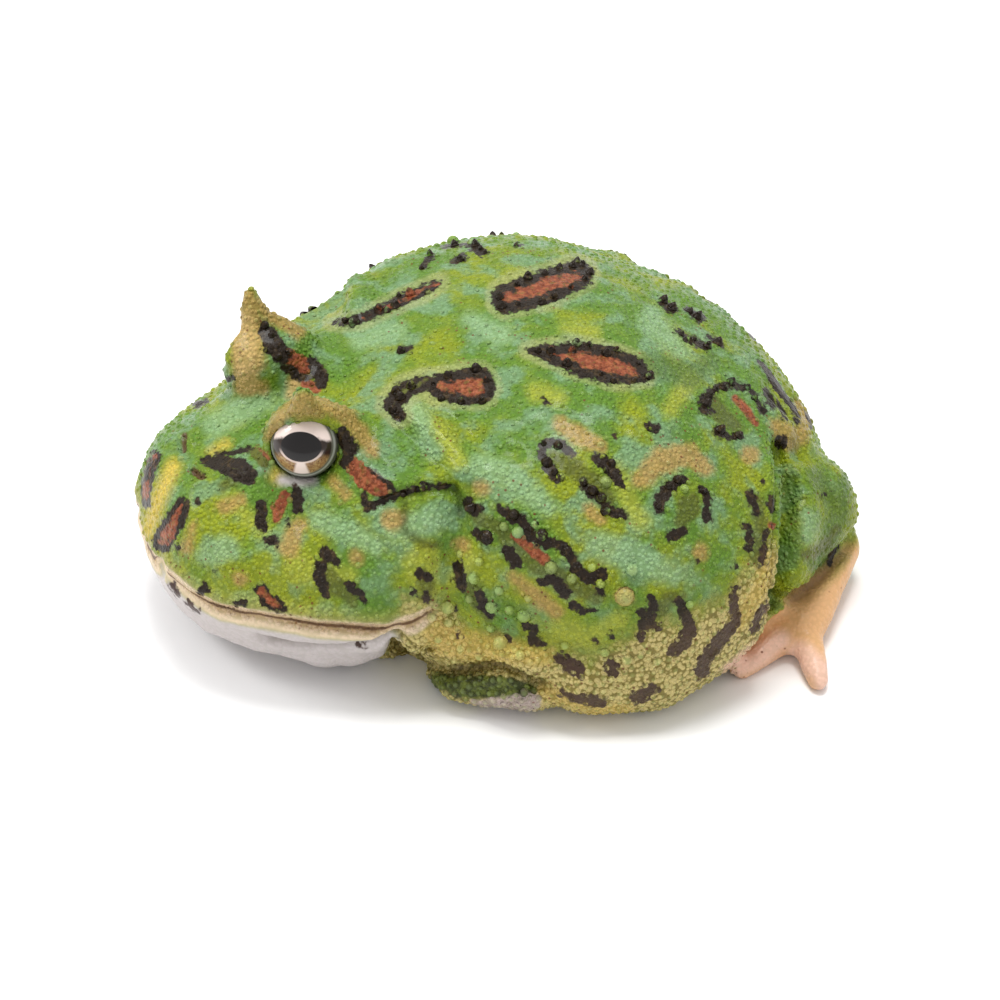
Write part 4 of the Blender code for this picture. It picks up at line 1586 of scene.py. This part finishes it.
@dataclass
class Warts:
    """The warts of the skin, each a small mesh of a few dozen faces, joined into one piece to a kind.

    Attributes:
        skin: The skin that they stand on.
        seed: The seed of the random draws.
        facets: Faces round a wart.
        rings: Rings of faces of the ball that a wart is cut from.
        sunk: How deep a wart's foot is in the skin, for a radius of 1.
        lip_clear: How far from the mouth's line warts keep.
        slit_clear: How far from the nostrils they keep.
        cones_above: How high on the body cones stand.
        head_end: The y that the head ends at.
        head_cones_above: How high on the head cones stand.
        cone_share: The share of places on the rims that is tried.
        cone_gap: The least distance between cones, as in the other gaps.
        cone_radii: The least and the largest radius of cones, as in the other radii.
        grains_above: How high above the floor the belly's grains stand.
        pebbles_above: How high above the floor pebbles stand.
        pebble_parts: The y that the middle pieces of pebbles start and end at.
    """

    skin: Skin
    seed: int = 5
    facets: int = 8
    rings: int = 6
    sunk: float = 0.15
    lip_clear: float = 2.0
    slit_clear: float = 1.0
    cones_above: float = 27.0
    head_end: float = -18.0
    head_cones_above: float = 34.0
    cone_share: float = 0.1
    cone_gap: float = 1.2
    cone_radii: tuple[float, float] = (0.35, 0.85)
    grains_above: float = 0.8
    grain_gap: float = 0.85
    grain_radii: tuple[float, float] = (0.35, 0.6)
    pebbles_above: float = 6.0
    pebble_gap: float = 1.05
    pebble_radii: tuple[float, float] = (0.22, 0.5)
    pebble_parts: tuple[float, float] = (-8.0, 14.0)

    def one(self, kind: Wart) -> tuple[np.ndarray, list[list[int]]]:
        """Model one wart of radius 1, tip up.

        Args:
            kind: The kind of wart.

        Returns:
            Its vertices, one to a row, and its faces.
        """
        slim, height = kind.value
        bm = bmesh.new()
        bmesh.ops.create_uvsphere(bm, u_segments=self.facets, v_segments=self.rings, radius=1.0)
        geom = [*bm.verts, *bm.edges, *bm.faces]
        bmesh.ops.bisect_plane(bm, geom=geom, plane_co=(0, 0, -0.02), plane_no=(0, 0, -1), clear_outer=True)
        for vertex in bm.verts:
            round_of = min(vertex.co.x**2 + vertex.co.y**2, 1.0)
            vertex.co.z = height * (1 - round_of) ** slim - self.sunk * round_of**4
        bm.verts.index_update()
        shape = np.array([tuple(vertex.co) for vertex in bm.verts])
        faces = [[vertex.index for vertex in face.verts] for face in bm.faces]
        bm.free()
        return shape, faces

    def spread(self, wanted: np.ndarray, apart: float, draws: np.random.Generator) -> np.ndarray:
        """Choose vertices of the skin at random that stand apart.

        Args:
            wanted: Whether each vertex may be chosen.
            apart: The least distance between two chosen ones in millimetres.
            draws: The random draws.

        Returns:
            The numbers of the chosen vertices.
        """
        taken: dict[tuple[int, ...], list[int]] = {}
        chosen = []
        places = self.skin.places
        for index in draws.permutation(np.flatnonzero(wanted)):
            place = places[index]
            cell = tuple(int(c // apart) for c in place)
            near = [
                other
                for dx in (-1, 0, 1)
                for dy in (-1, 0, 1)
                for dz in (-1, 0, 1)
                for other in taken.get((cell[0] + dx, cell[1] + dy, cell[2] + dz), ())
            ]
            if any(((places[other] - place) ** 2).sum() < apart**2 for other in near):
                continue
            taken.setdefault(cell, []).append(index)
            chosen.append(index)
        return np.array(chosen, int)

    def strew(
        self, name: str, kind: Wart, at: np.ndarray, radii: np.ndarray, tip: float
    ) -> bpy.types.Object:
        """Build one piece of many warts, tiled from one shape, because an operator for each takes minutes.

        Args:
            name: The piece's name.
            kind: The kind of wart.
            at: The numbers of the skin's vertices that they stand on.
            radii: The radius of each in millimetres.
            tip: How strong the painted highlight on their tips is.

        Returns:
            The piece, dressed like the skin.
        """
        shape, faces = self.one(kind)
        draws = np.random.default_rng(self.seed)
        up = self.skin.normals[at]
        aside = unit(np.cross(up, unit(draws.normal(size=up.shape))))
        ahead = np.cross(up, aside)
        turned = np.stack((aside, ahead, up), 1) * radii[:, None, None]
        places = self.skin.places[at][:, None] + np.einsum("vk,nkj->nvj", shape, turned)
        steps = np.arange(len(at))[:, None] * len(shape)
        mesh = bpy.data.meshes.new(name)
        all_faces = [row for face in faces for row in (np.array(face) + steps).tolist()]
        mesh.from_pydata((places.reshape(-1, 3) * MM).tolist(), [], all_faces)
        mesh.update()
        piece = bpy.data.objects.new(name, mesh)
        bpy.context.scene.collection.objects.link(piece)
        for attribute in self.skin.piece.data.attributes:
            if attribute.data_type != "FLOAT" or attribute.domain != "POINT":
                continue
            keep_numbers(mesh, attribute.name, np.repeat(self.numbers(attribute.name)[at], len(shape)))
        high = np.clip(shape[:, 2] / shape[:, 2].max(), 0, 1)
        # Painted highlight, strongest at each wart's tip
        keep_numbers(mesh, "tip", np.tile(high * tip, len(at)))
        mesh.materials.append(self.skin.piece.data.materials[0])
        mesh.shade_smooth()
        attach(piece, "root")
        log.info("%s: %d warts, %d faces", name, len(at), len(all_faces))
        return piece

    def numbers(self, name: str) -> np.ndarray:
        """The number that the skin keeps for each vertex.

        Args:
            name: The number's name.

        Returns:
            The numbers, in the order of the vertices.
        """
        numbers = np.empty(len(self.skin.places), np.float32)
        self.skin.piece.data.attributes[name].data.foreach_get("value", numbers)
        return numbers

    def build(self) -> None:
        """Build the cones on the dark rims, the large knobs and the small pebbles."""
        draws = np.random.default_rng(self.seed)
        _, y, z = self.skin.places.T
        edge, cream, grainy = self.numbers("blotch"), self.numbers("cream"), self.numbers("grainy")
        off_lips = (np.abs(self.numbers("above_mouth")) > self.lip_clear) | (self.numbers("muzzle") < 0.5)
        clear = off_lips & (self.numbers("slit") > self.slit_clear)
        on_top = (z > self.cones_above) & ((y > self.head_end) | (z > self.head_cones_above))
        rim = (edge < -0.1) & (self.numbers("heart_depth") > 0.1) & on_top
        cones = self.spread(rim & (draws.random(len(rim)) < self.cone_share), self.cone_gap, draws)
        # The last number given to strew is the strength of the painted highlight on the tips
        self.strew("dark_cones", Wart.CONE, cones, draws.uniform(*self.cone_radii, len(cones)), 0.0)
        at, radii = [], []
        for knob in KNOBS:
            place = self.skin.hit(knob.x, knob.y)
            for side in Side:
                at.append(self.skin.nearest(place * (side.value, 1, 1)))
                radii.append(knob.radius / KNOB_PIXELS_PER_MM)
        self.strew("knobs", Wart.DOME, np.array(at), np.array(radii), 1.0)
        on_belly = (cream > 0.5) & (z > self.grains_above) & (edge > -0.3) & clear
        grains = self.spread(on_belly, self.grain_gap, draws)
        self.strew("flank_grains", Wart.PEBBLE, grains, draws.uniform(*self.grain_radii, len(grains)), 0.5)
        first, last = self.pebble_parts
        for name, part in (("front", y < first), ("middle", (y >= first) & (y < last)), ("rear", y >= last)):
            bare = (cream <= 0.5) & (grainy > 0.9) & (z > self.pebbles_above) & (edge > 0.1) & clear & part
            pebbles = self.spread(bare, self.pebble_gap, draws)
            radii = draws.uniform(*self.pebble_radii, len(pebbles))
            self.strew(f"{name}_pebbles", Wart.PEBBLE, pebbles, radii, 0.35)


@dataclass
class Eye:
    """One eyeball, which looks out between the lids.

    Attributes:
        side: Left or right.
        segments: Faces round the eyeball.
        rings: Rings of faces from its back to its front.
    """

    side: Side
    segments: int = 64
    rings: int = 32

    def build(self) -> bpy.types.Object:
        """Build the eyeball and dress it.

        Returns:
            The eyeball.
        """
        gaze = Vector(GAZE * (self.side.value, 1, 1))
        centre = Vector(EYE_CENTRE * (self.side.value, 1, 1))
        right = Vector((-gaze.y, gaze.x, 0)).normalized()
        up = gaze.cross(right)
        turn = Matrix((right, up, gaze)).transposed().to_4x4()
        bm = bmesh.new()
        place = Matrix.Translation(centre * MM) @ turn
        bmesh.ops.create_uvsphere(
            bm, u_segments=self.segments, v_segments=self.rings, radius=EYE_RADIUS * MM, matrix=place
        )
        eye = object_from(f"eyeball_{self.side.word}", bm)
        away = (places_of(eye.data) - np.array(centre)) / EYE_RADIUS
        keep_numbers(eye.data, "across", away @ np.array(right))
        keep_numbers(eye.data, "up", away @ np.array(up))
        eye.data.materials.append(EyeFinish().material())
        eye.data.shade_smooth()
        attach(eye, "root")
        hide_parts(f"eye_{self.side.word}")
        log.info("%s: %d faces", eye.name, len(eye.data.polygons))
        return eye


@dataclass
class Studio:
    """The pale floor and the soft light.

    Attributes:
        floor_size: The floor's width.
        sky: How bright the white surroundings are.
        top_place: Where the top light hangs.
        top_size: Its width.
        top_power: Its power in watts.
        side_place: Where the side light hangs.
        side_size: Its width.
        side_power: Its power in watts.
    """

    floor_size: float = 6000.0
    sky: float = 0.80
    top_place: Point = (-110, 60, 790)
    top_size: float = 320
    top_power: float = 4.5
    side_place: Point = (-260, -560, 560)
    side_size: float = 260
    side_power: float = 2.3

    def light(self, name: str, place: Point, size: float, power: float) -> None:
        """Hang a square soft light that looks at the frog.

        Args:
            name: The light's name.
            place: Where it hangs, in millimetres.
            size: Its width in millimetres.
            power: Its power in watts.
        """
        data = bpy.data.lights.new(name, "AREA")
        data.shape = "SQUARE"
        data.size = size * MM
        data.energy = power
        lamp = bpy.data.objects.new(name, data)
        bpy.context.scene.collection.objects.link(lamp)
        lamp.location = Vector(place) * MM
        lamp.rotation_euler = (-lamp.location).to_track_quat("-Z", "Y").to_euler()

    def build(self) -> None:
        """Lay the floor and hang the lights."""
        bm = bmesh.new()
        bmesh.ops.create_grid(bm, x_segments=1, y_segments=1, size=self.floor_size / 2 * MM)
        floor = object_from("floor", bm)
        floor.data.materials.append(FloorFinish().material())
        world = bpy.data.worlds.new("studio")
        world.use_nodes = True
        world.node_tree.nodes["Background"].inputs["Color"].default_value = (1, 1, 1, 1)
        world.node_tree.nodes["Background"].inputs["Strength"].default_value = self.sky
        bpy.context.scene.world = world
        self.light("top_light", self.top_place, self.top_size, self.top_power)
        self.light("side_light", self.side_place, self.side_size, self.side_power)
        bpy.context.scene.view_settings.view_transform = "Standard"


def main() -> None:
    """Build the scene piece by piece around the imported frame."""
    logging.basicConfig(level=logging.INFO, format="%(name)s: %(message)s")
    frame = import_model()
    camera = PhotoCamera()
    camera.build()
    Studio().build()
    skin = Skin(camera)
    skin.build(frame["nodes"])
    Warts(skin).build()
    for side in Side:
        Eye(side).build()


if __name__ == "__main__":
    main()
